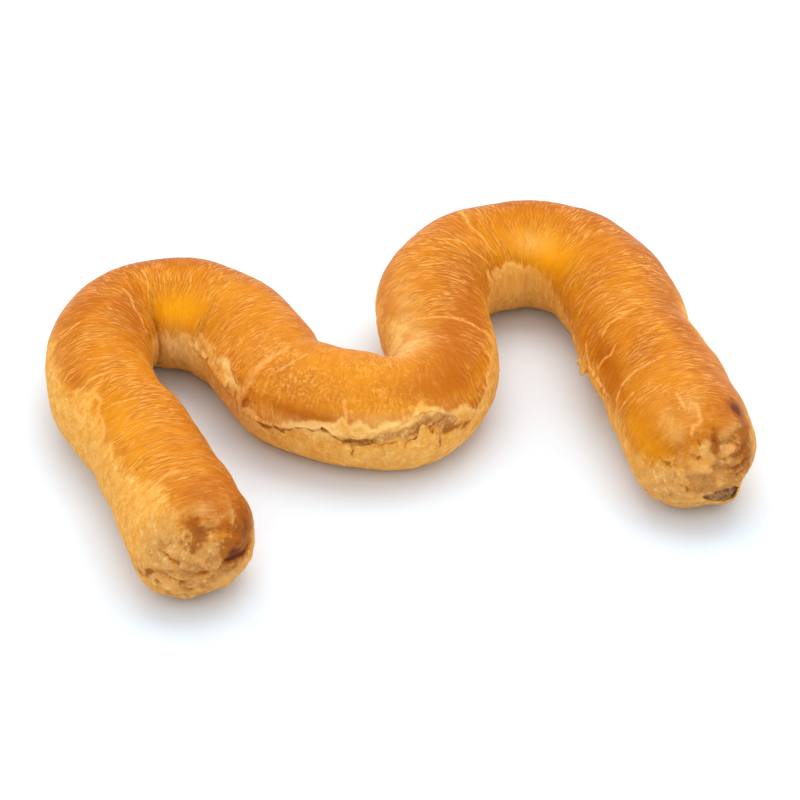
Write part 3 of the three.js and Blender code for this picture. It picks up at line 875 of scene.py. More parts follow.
def crust_grid(settings):
    """The crust's outer points and their marks, the angles of its sides and the way its right foot points."""
    sides = paced(-90, 270, SIDES + 1, side_pace)
    left = LEFT_TIP * (1 - np.cos(np.linspace(0, np.pi / 2, DOME_ROWS)))
    middle = paced(LEFT_TIP, ROLL.length - RIGHT_TIP, MIDDLE_ROWS, row_pace)[1:]
    s, angle = np.meshgrid(np.concatenate([left, middle]), sides, indexing="ij")
    body = crust_place(s, angle)
    share, end_sides = np.meshgrid(np.linspace(0, 1, FOOT_ROWS)[1:], sides, indexing="ij")
    end, end_s, end_angle = foot_end(end_sides, share)
    points = np.concatenate([body, end])
    s = np.concatenate([s, end_s])
    angle = np.concatenate([angle, end_angle])
    marks = crust_marks(s, angle, points)
    lift = fine_relief(marks, points, settings)
    points = points + outward(points) * lift[..., None]
    ahead = foot_heading()
    points[-len(share):] += mouth_lip(end_sides, share)[..., None] * ahead
    points[..., 2] = np.maximum(points[..., 2], 0)
    points[:, -1] = points[:, 0]
    return points, marks, sides, ahead


def channel_rows(rim, depths, sides, ahead, growth):
    """Rings from the mouth's rim into the foot, and on into the start of the tunnel."""
    x, y, _, tx, ty = ROLL.at(np.array(ROLL.length))
    oval = mouth_rim(sides, growth)
    flat = np.stack([x - ty * oval[:, 0], y + tx * oval[:, 0], oval[:, 1]], -1)
    rings = []
    for depth in depths:
        share = min(1.0, depth / MOUTH_DEPTH)
        start = rim - ahead * depth * (1 - share)
        rings.append(start + (flat - ahead * MOUTH_DEPTH - start) * share)
    return np.array(rings)


def tunnel_rows(sides, count, growth):
    """Rings of the paste core, from behind the mouth to its closed end in the left foot."""
    far = ROLL.length - CORE_END_GAP
    s = paced(CORE_END_GAP - growth, ROLL.length - CORE_DEPTH, count, core_pace)[::-1]
    s, angle = np.meshgrid(s, sides, indexing="ij")
    rounded = np.sqrt(closing(s - CORE_END_GAP + growth, LEFT_TIP) * closing(far - s, RIGHT_TIP))
    half = ROLL.at(s)[2]
    return section(s, angle, CORE_SHARE * rounded + growth / half * np.minimum(1, rounded * 4))


def build_crust(settings, material):
    """The crust: its outside, the mouth, and the tunnel that the paste fills."""
    points, marks, sides, ahead = crust_grid(settings)
    depths = np.linspace(0, MOUTH_DEPTH, CHANNEL_ROWS + 1)[1:]
    channel = channel_rows(points[-1], depths, sides, ahead, CLEARANCE)
    tunnel = tunnel_rows(sides, TUNNEL_ROWS, CLEARANCE)
    inner = np.concatenate([channel, tunnel])
    inner[:, -1] = inner[:, 0]
    del marks["lumps"]
    hidden = {"glaze": -FAR, "burn": 0.5, "tan": 0.5, "open": 3.0}
    for mark in marks:
        if mark == "roll":
            marks[mark] = np.concatenate([marks[mark], inner])
        else:
            marks[mark] = np.concatenate([marks[mark], np.full(inner.shape[:2], hidden.get(mark, 0.0))])
    bm = bmesh.new()
    add_grid(bm, np.concatenate([points, inner]), marks)
    new_piece("crust", finished("crust", bm), material, ["pastry_crust"])


def build_filling(settings, material):
    """The paste: its core through the whole roll, and its crumbly end in the mouth."""
    sides = np.linspace(-90, 270, PASTE_SIDES + 1)
    ahead = foot_heading()
    shares = np.sin(np.linspace(0, np.pi / 2, PASTE_CAP_ROWS))[:, None, None]
    rim = mouth_rim(sides, -CLEARANCE)
    middle = rim.mean(0)
    flat = middle + (rim - middle) * shares
    cap, _, _ = on_end(flat)
    lumps = noise_at(cap, 1.6, 1.1) + 0.8 * noise_at(cap, 0.8, 4.2)
    leaning = PASTE_LEAN * (eased((flat[..., 1] - 9) / 8) + 0.6 * eased((flat[..., 0] - 9) / 5))
    raised = settings.crumb_depth / MM * lumps * (1 - shares[..., 0] ** 8) - leaning
    cap = cap + ahead * raised[..., None]
    depths = np.linspace(0, MOUTH_DEPTH, PASTE_CHANNEL_ROWS + 1)[1:]
    channel = channel_rows(cap[-1], depths, sides, ahead, -CLEARANCE)
    points = np.concatenate([cap, channel, tunnel_rows(sides, PASTE_TUNNEL_ROWS, 0.0)])
    points[:, -1] = points[:, 0]
    bm = bmesh.new()
    add_grid(bm, points, {})
    new_piece("filling", finished("filling", bm), material, ["almond_paste"])


def add_leaf(bm, points, marks):
    """Adds a thin leaf of pastry over the crust, with two faces and a torn rim."""
    del marks["lumps"]
    marks["open"] = np.full(points.shape[:2], -FAR)
    marks["cracked"] = np.zeros(points.shape[:2])
    made = add_grid(bm, points, marks)
    faces = list(dict.fromkeys(face for vert in made for face in vert.link_faces))
    bmesh.ops.recalc_face_normals(bm, faces=faces)
    bmesh.ops.solidify(bm, geom=faces, thickness=LEAF_THICKNESS * MM)


def rises(across, along, lift, seed):
    """How far a leaf stands off the crust, from its sunk root to its lifted edge."""
    waves = noise_at(np.stack([along, across * 3, across * 0], -1), 2.6, seed)
    return -LEAF_SUNK + (lift * (1 + 0.5 * waves) + LEAF_SUNK) * across**1.6


def face_rank(face):
    """A number that lists faces by their place."""
    return face.calc_center_median().dot(LISTING)


def build_flakes(material):
    """Torn leaves along the tears."""
    bm = bmesh.new()
    for seed, (lift, root, edge) in enumerate(LEAVES):
        start, end = np.array(root, float), np.array(edge, float)
        run = np.hypot(*((end[-1] - end[0]) * (1, DEGREE_MM)))
        part, across = np.meshgrid(
            np.linspace(0, 1, int(run / LEAF_STEP) + 2), np.linspace(0, 1, LEAF_DEPTH_STEPS), indexing="ij"
        )
        sides = []
        for knots in (start, end):
            at = np.linspace(0, 1, len(knots))
            sides.append(np.stack([np.interp(part, at, knots[:, k]) for k in range(2)], -1))
        along = part * run
        torn = 1 + 0.3 * noise_at(np.stack([along, along * 0, along * 0], -1), (1.5, 1, 1), seed + 0.5, 3)
        laid = sides[0] + (sides[1] - sides[0]) * (across * torn)[..., None]
        s, angle = laid[..., 0], laid[..., 1]
        points = lifted(crust_place, s, angle, rises(across, along, lift, seed))
        add_leaf(bm, points, crust_marks(s, angle, points))
    # The order in which solidify lists a leaf's rim changes from run to run.
    bm.faces.sort(key=face_rank)
    new_piece("flakes", finished("flakes", bm), material)


# Shading


class Field:
    """A value, place or colour that varies over a surface, with the sums that a shader tree makes of it."""

    def __init__(self, tree, socket):
        self.tree = tree
        self.socket = socket

    def calc(self, operation, first, second=0.0):
        node = put(self.tree, "ShaderNodeMath", {0: first, 1: second}, operation=operation)
        return Field(self.tree, node.outputs[0])

    def __add__(self, other):
        return self.calc("ADD", self, other)

    def __sub__(self, other):
        return self.calc("SUBTRACT", self, other)

    def __rsub__(self, other):
        return self.calc("SUBTRACT", other, self)

    def __mul__(self, other):
        return self.calc("MULTIPLY", self, other)

    def __abs__(self):
        return self.calc("ABSOLUTE", self)

    def sine(self):
        return self.calc("SINE", self)

    def at_least(self, other):
        return self.calc("MAXIMUM", self, other)

    def clamped(self):
        """The same sum, held between 0 and 1."""
        self.socket.node.use_clamp = True
        return self

    def to(self, socket):
        self.tree.links.new(self.socket, socket)


def put(tree, kind, inputs=None, **settings):
    """Adds a node to a tree, with its settings, and with values or fields on its inputs."""
    made = tree.nodes.new(kind)
    for name, value in settings.items():
        setattr(made, name, value)
    for name, value in (inputs or {}).items():
        if isinstance(value, Field):
            value.to(made.inputs[name])
        else:
            made.inputs[name].default_value = value
    return made


def remap(value, low, high, to_low=0.0, to_high=1.0):
    """A value eased from one range to another, and held at its ends."""
    inputs = {"Value": value, "From Min": low, "From Max": high, "To Min": to_low, "To Max": to_high}
    node = put(value.tree, "ShaderNodeMapRange", inputs, interpolation_type="SMOOTHSTEP")
    return Field(value.tree, node.outputs["Result"])


def mix(share, first, second):
    """A colour between two others."""
    node = put(share.tree, "ShaderNodeMix", {0: share, 6: first, 7: second}, data_type="RGBA")
    return Field(share.tree, node.outputs[2])


def vector_calc(operation, first, second):
    node = put(first.tree, "ShaderNodeVectorMath", {0: first, 1: second}, operation=operation)
    return Field(first.tree, node.outputs[0])


def mark(tree, name, output="Fac"):
    """A mark that is kept on the mesh."""
    return Field(tree, put(tree, "ShaderNodeAttribute", attribute_name=name).outputs[output])


def object_place(tree):
    return Field(tree, put(tree, "ShaderNodeTexCoord").outputs["Object"])


def grain(place, stretch, detail=2.0, roughness=0.5, distortion=0.0):
    """Noise from 0 to 1 with features of one unit after the place is stretched."""
    mapped = put(place.tree, "ShaderNodeMapping", {"Vector": place, "Scale": stretch}).outputs["Vector"]
    inputs = {
        "Vector": Field(place.tree, mapped),
        "Scale": 1.0,
        "Detail": detail,
        "Roughness": roughness,
        "Distortion": distortion,
    }
    return Field(place.tree, put(place.tree, "ShaderNodeTexNoise", inputs).outputs["Fac"])


def bumped(height, depth):
    """A normal that leans with a height, for relief of a depth in metres."""
    node = put(height.tree, "ShaderNodeBump", {"Height": height, "Strength": 1.0, "Distance": depth})
    return Field(height.tree, node.outputs["Normal"])


COLOUR = "NodeSocketColor"
VALUE = "NodeSocketFloat"
PLACE = "NodeSocketVector"


def new_group(name, inputs, outputs):
    """An empty shader node group: its tree, its inputs as fields and the sockets that take its outputs."""
    tree = bpy.data.node_groups.new(name, "ShaderNodeTree")
    for way, sockets in (("INPUT", inputs), ("OUTPUT", outputs)):
        for socket, kind in sockets.items():
            tree.interface.new_socket(name=socket, in_out=way, socket_type=kind)
    sockets = put(tree, "NodeGroupInput").outputs
    given = {socket: Field(tree, sockets[socket]) for socket in inputs}
    return tree, given, put(tree, "NodeGroupOutput").inputs


def wrinkle_group():
    """Fine wavy wrinkles round the roll, or pebbles: their height, crests, valleys, broad bands and sheen."""
    inputs = {"Roll": PLACE, "Pebbled": VALUE, "Amount": VALUE}
    names = ("Height", "Crests", "Valleys", "Bands", "Sheen")
    tree, given, out = new_group("Wrinkles", inputs, dict.fromkeys(names, VALUE))
    roll = given["Roll"]
    sway = put(tree, "ShaderNodeTexNoise", {"Vector": roll, "Scale": 0.12, "Detail": 2.0}).outputs["Color"]
    shifted = vector_calc("ADD", Field(tree, sway), (-0.5, -0.5, -0.5))
    place = vector_calc("ADD", roll, vector_calc("MULTIPLY", shifted, (3.0, 3.0, 3.0)))
    along = Field(tree, put(tree, "ShaderNodeSeparateXYZ", {0: place}).outputs["X"])
    stray = grain(place, (0.24, 0.1, 0.1), 3.0) - 0.5
    waves = (along * 4.6 + stray * 30.0).sine() * 0.1
    lined = grain(place, (1.3, 0.2, 0.2), 2.0, 0.5, 0.35) + waves
    pebbles = remap(grain(place, (1.0, 0.6, 0.6), 2.0, 0.55, 0.6), 0.1, 0.9, 0.12, 0.88)
    chosen = put(tree, "ShaderNodeMix", {0: given["Pebbled"], 2: lined, 3: pebbles}).outputs[0]
    fine = Field(tree, chosen)
    spread = remap(grain(roll, (0.12, 0.08, 0.08), 3.0), 0.36, 0.6, 0.35, 1.0)
    presence = spread * given["Amount"]
    ((fine - 0.5) * presence).to(out["Height"])
    (remap(fine, 0.46, 0.72) * presence).to(out["Crests"])
    (remap(fine, 0.5, 0.28) * presence).to(out["Valleys"])
    grain(place, (0.3, 0.09, 0.09), 3.0).to(out["Bands"])
    presence.to(out["Sheen"])
    return tree


class BakedPastry:
    """A shader node group that works out the look of baked pastry from colours and the marks on the mesh."""

    COLOURS = (
        "Glaze Light", "Glaze Deep", "Glaze Golden And Bounce Light", "Glaze Highlight And Crease", "Bare Pale", "Bare Ochre", "Bare Cream And Highlight",
        "Tan", "Dry", "Burnt And Shade", "Charred And Shade", "Crack", "Crumb",
    )

    def __init__(self):
        outputs = {"Colour": COLOUR, "Roughness": VALUE, "Height": VALUE}
        tree, self.given, out = new_group("Baked Pastry", dict.fromkeys(self.COLOURS, COLOUR), outputs)
        self.tree = tree
        self.roll = mark(tree, "roll", "Vector")
        self.place = object_place(tree)
        self.foot = mark(tree, "foot")
        self.tan = mark(tree, "tan")
        self.crisp = mark(tree, "crisp")
        self.pebbled = mark(tree, "pebbled")
        wrinkled = {"Roll": self.roll, "Pebbled": self.pebbled, "Amount": mark(tree, "wrinkled")}
        lines = put(tree, "ShaderNodeGroup", wrinkled, node_tree=wrinkle_group())
        self.lines = {name: Field(tree, socket) for name, socket in lines.outputs.items()}
        self.streak = grain(self.roll, (0.5, 0.28, 0.28), 5.0, 0.62, 0.9)
        self.edge_grain = grain(self.roll, (0.75, 0.3, 0.3), 3.0) - 0.5
        self.mottle = grain(self.roll, (0.26, 0.14, 0.14), 4.0, 0.6)
        self.speck = grain(self.roll, (0.9, 0.55, 0.55), 2.0)
        self.blotch = grain(self.roll, (0.24, 0.2, 0.2), 4.0, 0.6, 0.5)
        self.crumbly = grain(self.place, (640, 640, 640), 4.0, 0.65, 0.5)
        self.layers = grain(self.roll, (0.9, 0.32, 0.32), 4.0, 0.62, 0.7)
        self.edge, self.glazed = self.border()
        colour = self.with_pale_and_lit_parts(mix(self.glazed, self.bare(), self.glaze()))
        colour = self.with_dry_ends(colour)
        colour, crease_line = self.with_creases(colour)
        colour, burn = self.with_burns(colour)
        colour, opened = self.with_tear(colour, burn)
        colour, crack_line = self.with_cracks(colour)
        colour.to(out["Colour"])
        self.roughness(opened).to(out["Roughness"])
        self.height(crease_line, crack_line, opened).to(out["Height"])

    def border(self):
        """How far inside the glaze a point is, and how glazed it is: crisp, or thinning out in streaks."""
        frayed = (self.streak - 0.5) * remap(self.crisp, 0.0, 1.0, 11.0, 1.5)
        edge = mark(self.tree, "glaze") + (frayed + self.edge_grain * 3.0)
        keen = remap(self.crisp, 0.0, 1.0, 0.32, 0.8) - self.foot * 0.12
        return edge, remap(edge * keen, -1.0, 1.0)

    def glaze(self):
        """Egg wash from light to deep, browner where it pooled at its border, darker on the flanks and back
        edges and in the wrinkles' valleys as painted shade, with painted highlights on the wrinkles' crests
        and painted sheen.
        """
        pooled = remap(self.edge, 0.4, 1.4) * remap(self.edge, 4.6, 1.6)
        # The brown mark holds painted shade on the right-hand flanks and back edges as well as browning.
        browned = mark(self.tree, "brown") + (self.mottle - 0.5) * 0.8 + pooled * (self.crisp * 0.35)
        # Darker in the wrinkles' valleys: painted shade.
        browned = browned + (0.5 - self.lines["Bands"]) * 0.6 + self.lines["Valleys"] * 0.4
        glaze = mix(remap(browned, -0.1, 1.1), self.given["Glaze Light"], self.given["Glaze Deep"])
        # Painted highlights on the wrinkles' crests, and painted sheen over wrinkled and pebbled glaze.
        crests = self.lines["Crests"] * 0.6 + self.lines["Sheen"] * 0.12 + self.pebbled * 0.12
        return mix(crests, glaze, self.given["Glaze Highlight And Crease"])

    def bare(self):
        """Dough without egg wash, streaked round the roll, with painted shade in its wrinkles' valleys and
        painted highlights on their crests.
        """
        ochre, cream = self.given["Bare Ochre"], self.given["Bare Cream And Highlight"]
        bare = mix(remap(self.streak + self.blotch, 0.75, 1.3), self.given["Bare Pale"], ochre)
        film = grain(self.roll, (0.42, 0.34, 0.34), 5.0, 0.65, 1.0)
        bare = mix(remap(film, 0.5, 0.62, 0.0, 0.7), bare, ochre)
        bare = mix(remap(film, 0.46, 0.32, 0.0, 0.5), bare, cream)
        # Painted shade in the wrinkles' valleys and painted highlights on their crests.
        bare = mix(self.lines["Valleys"] * 0.3, bare, ochre)
        return mix(self.lines["Crests"] * 0.25, bare, cream)

    def with_pale_and_lit_parts(self, colour):
        """The cream rim of a crisp border, the golden insides of the bends as painted bounce light, and the
        palest stretches, partly pale dough and partly painted light and sheen.
        """
        rim = remap(self.edge, -3.2, -1.2) * remap(self.edge, 0.6, -0.4)
        colour = mix(rim * (self.crisp * 0.4), colour, self.given["Bare Cream And Highlight"])
        # Painted bounce light inside the bends.
        golden = (mark(self.tree, "golden") * 0.75).clamped()
        colour = mix(golden, colour, self.given["Glaze Golden And Bounce Light"])
        # Pale dough, with painted light inside the bends, painted sheen and painted highlights on the feet.
        pale = (mark(self.tree, "pale") * remap(self.blotch, 0.35, 0.65, 1.0, 0.5)).clamped()
        return mix(pale * remap(self.glazed, 0.0, 1.0, 0.9, 0.55), colour, self.given["Bare Cream And Highlight"])

    def with_dry_ends(self, colour):
        """The dry, lumpy ends of the feet, tan in the hollows and paler on the lumps as painted shade and
        painted highlights.
        """
        ochre, cream = self.given["Bare Ochre"], self.given["Bare Cream And Highlight"]
        lumpy = mark(self.tree, "knobs") + (self.crumbly - 0.5) * 1.8
        # Tan in the hollows and paler on the lumps, following the relief: painted shade and painted
        # highlights over dry dough.
        dry = mix(remap(lumpy + (self.tan * -0.4 + 0.25), -0.5, 0.1), self.given["Tan"], self.given["Dry"])
        dry = mix(remap(lumpy - self.tan * 0.3, 0.12, 0.55, 0.0, 0.25), dry, cream)
        bared = remap(self.foot, 0.4, 1.0, 0.0, 0.6) * remap(self.glazed, 0.0, 1.0, 1.0, 0.0)
        dry_share = self.tan * 0.8 + bared + lumpy * -0.4
        colour = mix(remap(dry_share, 0.0, 1.1, 0.0, 0.9), colour, dry)
        flecks = grain(self.place, (420, 420, 420), 4.0, 0.65, 0.4)
        dried = self.foot * remap(self.glazed, 0.0, 1.0, 1.0, 0.15)
        colour = mix(remap(flecks, 0.48, 0.34, 0.0, 0.7) * dried, colour, ochre)
        dried = dried * remap(self.tan, 0.2, 1.2, 1.0, 0.35)
        colour = mix(remap(flecks, 0.52, 0.7, 0.0, 0.55) * dried, colour, cream)
        # Painted highlights on the lumps' tops.
        return mix(remap(lumpy, 0.1, 0.5) * (self.foot * 0.2), colour, self.given["Glaze Highlight And Crease"])

    def with_creases(self, colour):
        """Pale creases in the glaze, and how strongly they show."""
        crease = abs(mark(self.tree, "crease")) + self.edge_grain * 2.0
        crease_line = remap(crease, 2.2, 0.0) * remap(self.speck, 0.3, 0.65, 0.35, 0.95)
        crease_line = crease_line * mark(self.tree, "creased")
        return mix(crease_line, colour, self.given["Glaze Highlight And Crease"]), crease_line

    def with_burns(self, colour):
        """Spots that browned through or blackened, with painted shade in folds, pits and the tear, and how
        strongly they show.
        """
        burn_grain = (self.speck - 0.5) + (self.crumbly - 0.5)
        burn_mark = mark(self.tree, "burn") + burn_grain * 1.3
        burn = remap(burn_mark, 0.2, 0.95, 0.0, 0.88)
        # The mark holds painted shade in folds, pits and the tear as well as spots that browned through.
        colour = mix(burn, colour, self.given["Burnt And Shade"])
        return mix(remap(burn_mark, 1.1, 2.2, 0.0, 0.85), colour, self.given["Charred And Shade"]), burn

    def with_tear(self, colour, burn):
        """Torn layers inside the open tear, darker between the layers and in its depths as painted shade and
        paler on the layers' edges as painted highlights, and how far it is open.
        """
        crumb = mix(remap(self.layers, 0.5, 0.36, 0.0, 0.7), self.given["Crumb"], self.given["Crack"])
        crumb = mix(remap(self.layers, 0.52, 0.66, 0.0, 0.6), crumb, self.given["Bare Cream And Highlight"])
        crumb = mix(burn * 0.9, crumb, self.given["Crack"])
        ragged = self.edge_grain * 1.6 + (self.layers - 0.5) * 4.0
        opened = remap(mark(self.tree, "open") + ragged, -0.4, 1.0, 0.0, 0.9)
        return mix(opened, colour, crumb), opened

    def with_cracks(self, colour):
        """Cracks darkened with painted shade, and how strongly they show."""
        crack = abs(mark(self.tree, "crack")) + self.edge_grain * 3.0
        crack_line = remap(crack, 1.5, 0.2) * mark(self.tree, "cracked")
        crack_line = crack_line * remap(self.speck, 0.3, 0.6, 0.35, 0.8)
        return mix(crack_line, colour, self.given["Crack"]), crack_line

    def roughness(self, opened):
        rough = remap(self.glazed, 0.0, 1.0, 0.62, 0.0) + (self.mottle * 0.2 + 0.32) * self.glazed
        return rough.at_least(opened * 0.85)

    def height(self, crease_line, crack_line, opened):
        """Height of the finest relief, as shares of the wrinkles' depth."""
        height = self.lines["Height"] * self.glazed * 1.2 + self.streak * (1.0 - self.glazed) * 0.8
        height = height - crease_line * 0.25 - crack_line * 0.7
        return height + self.layers * (opened * 0.7) + self.crumbly * (self.foot * 0.9) + self.speck * 0.25


def new_material(name):
    material = bpy.data.materials.new(name)
    material.use_nodes = True
    tree = material.node_tree
    return material, tree, tree.nodes["Principled BSDF"]


def pastry_material(settings):
    """Glazed and bare baked pastry, for the crust and for its flakes."""
    material, tree, shader = new_material("baked pastry")
    baked = put(tree, "ShaderNodeGroup", node_tree=BakedPastry().tree)
    for name, socket in baked.inputs.items():
        colour = getattr(settings, name.lower().replace(" ", "_"))
        socket.default_value = (*colour, 1.0)
    Field(tree, baked.outputs["Colour"]).to(shader.inputs["Base Color"])
    Field(tree, baked.outputs["Roughness"]).to(shader.inputs["Roughness"])
    height = Field(tree, baked.outputs["Height"])
    bumped(height, settings.wrinkle_depth).to(shader.inputs["Normal"])
    shader.inputs["Specular IOR Level"].default_value = DULL_SPECULAR
    return material


def paste_material(settings):
    """Baked almond paste: a moist brown crumb, darker in its hollows as painted shade, with paler grains of
    nut.
    """
    material, tree, shader = new_material("almond paste")
    place = object_place(tree)
    grains = grain(place, (700, 700, 700), 3.0, 0.6)
    cells = put(tree, "ShaderNodeTexVoronoi", {"Vector": place, "Scale": 900.0})
    nuts = Field(tree, cells.outputs["Distance"])
    # Darker where the grain is low, in its hollows: painted shade.
    base = mix(remap(grains, 0.35, 0.68), (*settings.hollow_shade, 1.0), (*settings.light, 1.0))
    colour = mix(remap(nuts, 0.3, 0.1, 0.0, 0.45), base, (*settings.nut, 1.0))
    colour.to(shader.inputs["Base Color"])
    bumped(grains - nuts * 0.6, settings.grain_depth).to(shader.inputs["Normal"])
    shader.inputs["Roughness"].default_value = PASTE_ROUGHNESS
    return material


def table_material(settings):
    """A plain pale table top with the faintest grain."""
    material, tree, shader = new_material("table")
    tint = remap(grain(object_place(tree), (30, 30, 30), 2.0), 0.3, 0.7)
    shade = tuple(TABLE_SHADE * value for value in settings.table_colour)
    colour = mix(tint, (*settings.table_colour, 1.0), (*shade, 1.0))
    colour.to(shader.inputs["Base Color"])
    shader.inputs["Roughness"].default_value = TABLE_ROUGHNESS
    shader.inputs["Specular IOR Level"].default_value = DULL_SPECULAR
    return material


# Settings, operators and the panel


def colour_property(name, description, default):
    return bpy.props.FloatVectorProperty(
        name=name, description=description, subtype="COLOR", size=3, min=0.0, max=1.0, default=default
    )


def length_property(name, description, default):
    return bpy.props.FloatProperty(
        name=name, description=description, subtype="DISTANCE", unit="LENGTH", default=default
    )


class CrustSettings(bpy.types.PropertyGroup):
    """Colours and relief of the baked crust."""

    glaze_light: colour_property("Glaze, light", "Egg wash where it browned least", srgb(214, 132, 6))
    glaze_deep: colour_property("Glaze, deep", "Egg wash where it browned most", srgb(176, 90, 2))
    # Painted bounce light inside the bends.
    glaze_golden_and_bounce_light: colour_property("Glaze, golden", "Yellow glaze, and painted bounce light inside the bends", srgb(255, 172, 8))
    # Painted highlights on the wrinkles' crests and on the feet's lumps; the same colour draws the pale
    # creases.
    glaze_highlight_and_crease: colour_property("Glaze, crests", "Painted highlights on the wrinkles' crests and the feet's lumps, and pale creases", srgb(245, 172, 88))
    bare_pale: colour_property("Bare, pale", "Dough that the egg wash missed", srgb(240, 176, 82))
    bare_ochre: colour_property("Bare, ochre", "Streaks in the bare dough", srgb(220, 146, 52))
    # Palest dough, and painted light inside the bends and on the lumps and crests.
    bare_cream_and_highlight: colour_property("Bare, cream", "Palest dough by the tears, and painted light in the bends and on lumps and crests", srgb(255, 216, 138))
    # Dry dough, and painted shade in the hollows of the ends.
    tan: colour_property("Tan", "Dry dough at the feet's ends, and painted shade in their hollows", srgb(180, 120, 64))
    dry: colour_property("Dry", "Drier crust at the feet's ends", srgb(214, 154, 84))
    # Browned spots, and painted shade in folds and pits.
    burnt_and_shade: colour_property("Burnt And Shade", "Spots that browned through, and painted shade in folds and pits", srgb(156, 82, 18))
    # Blackened spots, and painted shade in the deepest folds.
    charred_and_shade: colour_property("Charred And Shade", "Blackened spots, and painted shade in the darkest folds", srgb(92, 44, 30))
    # Painted shade in the depths of the cracks and tears, and between torn layers.
    crack: colour_property("Crack", "Painted shade in the depths of the cracks and tears, and between torn layers", srgb(150, 86, 34))
    crumb: colour_property("Crumb", "Torn layers inside the tears", srgb(200, 140, 78))
    ripple_depth: length_property("Ripple depth", "Height of the ripples round the roll", 0.00013)
    crumple_depth: length_property("Crumple depth", "Height of the crumples on the feet", 0.0011)
    wrinkle_depth: length_property("Wrinkle depth", "Height of the finest wrinkles", 0.0006)


class FillingSettings(bpy.types.PropertyGroup):
    """Colours and crumb of the almond paste."""

    hollow_shade: colour_property("Dark", "Painted shade in the hollows of the paste", srgb(118, 74, 36))
    light: colour_property("Light", "Baked paste", srgb(174, 120, 66))
    nut: colour_property("Nut", "Grains of ground almond", srgb(216, 172, 114))
    crumb_depth: length_property("Crumb depth", "Height of the crumbs in the mouth", 0.0007)
    grain_depth: length_property("Grain depth", "Height of the finest grains", 0.0003)


class StageSettings(bpy.types.PropertyGroup):
    """The table, the lights and the camera."""

    table_colour: colour_property("Table", "Colour of the table top", (0.785, 0.86, 0.925))
    elevation: bpy.props.FloatProperty(
        name="Elevation", description="Camera angle over the table", subtype="ANGLE", default=math.radians(38)
    )
    turn: bpy.props.FloatProperty(
        name="Turn", description="Camera angle round the letter", subtype="ANGLE", default=math.radians(-16.3)
    )
    distance: length_property("Distance", "From the camera to the point that it looks at", 1.66667)
    lens: bpy.props.FloatProperty(name="Lens", description="Focal length", unit="CAMERA", default=200.0)
    aim: bpy.props.FloatVectorProperty(
        name="Aim", description="Point that the camera looks at", subtype="XYZ", unit="LENGTH",
        default=(0.0095, 0.015, 0.0),
    )
    sky: bpy.props.FloatProperty(name="Sky", description="Strength of the even light all round", default=1.15)
    lamp: bpy.props.FloatProperty(
        name="Lamp", description="Power of the large lamp overhead", unit="POWER", default=14.0
    )


class PASTRY_OT_crust(bpy.types.Operator):
    """Bake the crust of the letter"""

    bl_idname = "pastry.crust"
    bl_label = "Crust"

    def execute(self, context):
        settings = context.scene.pastry_crust
        build_crust(settings, pastry_material(settings))
        return {"FINISHED"}


class PASTRY_OT_filling(bpy.types.Operator):
    """Fill the letter with almond paste"""

    bl_idname = "pastry.filling"
    bl_label = "Almond paste"

    def execute(self, context):
        settings = context.scene.pastry_filling
        build_filling(settings, paste_material(settings))
        return {"FINISHED"}


class PASTRY_OT_flakes(bpy.types.Operator):
    """Tear thin leaves of pastry along the cracks"""

    bl_idname = "pastry.flakes"
    bl_label = "Flakes"

    def execute(self, context):
        crust = bpy.data.objects["crust"]
        build_flakes(crust.data.materials[0])
        return {"FINISHED"}


class PASTRY_OT_stage(bpy.types.Operator):
    """Set the table, the lights and the camera"""

    bl_idname = "pastry.stage"
    bl_label = "Table, lights and camera"

    def execute(self, context):
        settings = context.scene.pastry_stage
        set_table(settings)
        set_lights(settings)
        set_camera(settings)
        return {"FINISHED"}


def set_table(settings):
    bm = bmesh.new()
    bmesh.ops.create_grid(bm, x_segments=1, y_segments=1, size=TABLE_HALF)
    bmesh.ops.translate(bm, verts=bm.verts, vec=(0, 0, -TABLE_GAP))
    mesh = bpy.data.meshes.new("table")
    bm.to_mesh(mesh)
    bm.free()
    mesh.materials.append(table_material(settings))
    table = bpy.data.objects.new("table", mesh)
    bpy.context.scene.collection.objects.link(table)


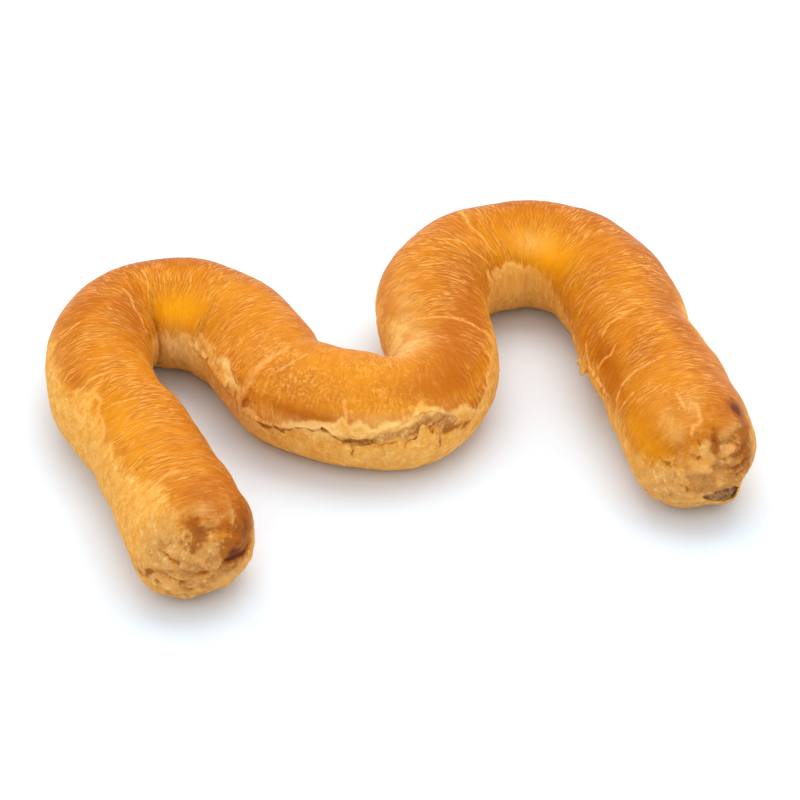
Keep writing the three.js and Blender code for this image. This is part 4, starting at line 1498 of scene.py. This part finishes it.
def set_lights(settings):
    scene = bpy.context.scene
    world = bpy.data.worlds.new("studio")
    world.use_nodes = True
    background = world.node_tree.nodes["Background"]
    background.inputs["Color"].default_value = SKY_COLOUR
    background.inputs["Strength"].default_value = settings.sky
    scene.world = world
    lamp = bpy.data.lights.new("overhead", "AREA")
    lamp.shape = "RECTANGLE"
    lamp.size, lamp.size_y = LAMP_SIZE
    lamp.energy = settings.lamp
    lamp.color = LAMP_COLOUR
    hung = bpy.data.objects.new("overhead", lamp)
    hung.location = LAMP_PLACE
    hung.rotation_euler = (-Vector(LAMP_PLACE)).to_track_quat("-Z", "Y").to_euler()
    scene.collection.objects.link(hung)
    scene.view_settings.view_transform = "Standard"
    scene.view_settings.look = "None"


def set_camera(settings):
    flat = math.cos(settings.elevation)
    across = math.sin(settings.turn) * flat
    towards = -math.cos(settings.turn) * flat
    back = Vector((across, towards, math.sin(settings.elevation)))
    data = bpy.data.cameras.new("camera")
    data.lens = settings.lens
    data.sensor_width = SENSOR_WIDTH
    camera = bpy.data.objects.new("camera", data)
    camera.location = Vector(settings.aim) + back * settings.distance
    camera.rotation_euler = back.to_track_quat("Z", "Y").to_euler()
    bpy.context.scene.collection.objects.link(camera)
    bpy.context.scene.camera = camera


PIECES = (PASTRY_OT_crust, PASTRY_OT_filling, PASTRY_OT_flakes, PASTRY_OT_stage)


class PASTRY_PT_panel(bpy.types.Panel):
    """The letter's pieces, in the order that they are made"""

    bl_idname = "PASTRY_PT_panel"
    bl_label = "Almond pastry letter"
    bl_space_type = "VIEW_3D"
    bl_region_type = "UI"
    bl_category = "Pastry"

    def draw(self, context):
        for piece in PIECES:
            self.layout.operator(piece.bl_idname)


SETTINGS = {"pastry_crust": CrustSettings, "pastry_filling": FillingSettings, "pastry_stage": StageSettings}


def register():
    for kind in (*SETTINGS.values(), *PIECES, PASTRY_PT_panel):
        bpy.utils.register_class(kind)
    for name, kind in SETTINGS.items():
        setattr(bpy.types.Scene, name, bpy.props.PointerProperty(type=kind))


def unregister():
    for name in SETTINGS:
        delattr(bpy.types.Scene, name)
    for kind in (PASTRY_PT_panel, *PIECES[::-1], *SETTINGS.values()):
        bpy.utils.unregister_class(kind)


def main():
    register()
    bpy.ops.pastry.crust()
    bpy.ops.pastry.filling()
    bpy.ops.pastry.flakes()
    bpy.ops.pastry.stage()


if __name__ == "__main__":
    main()
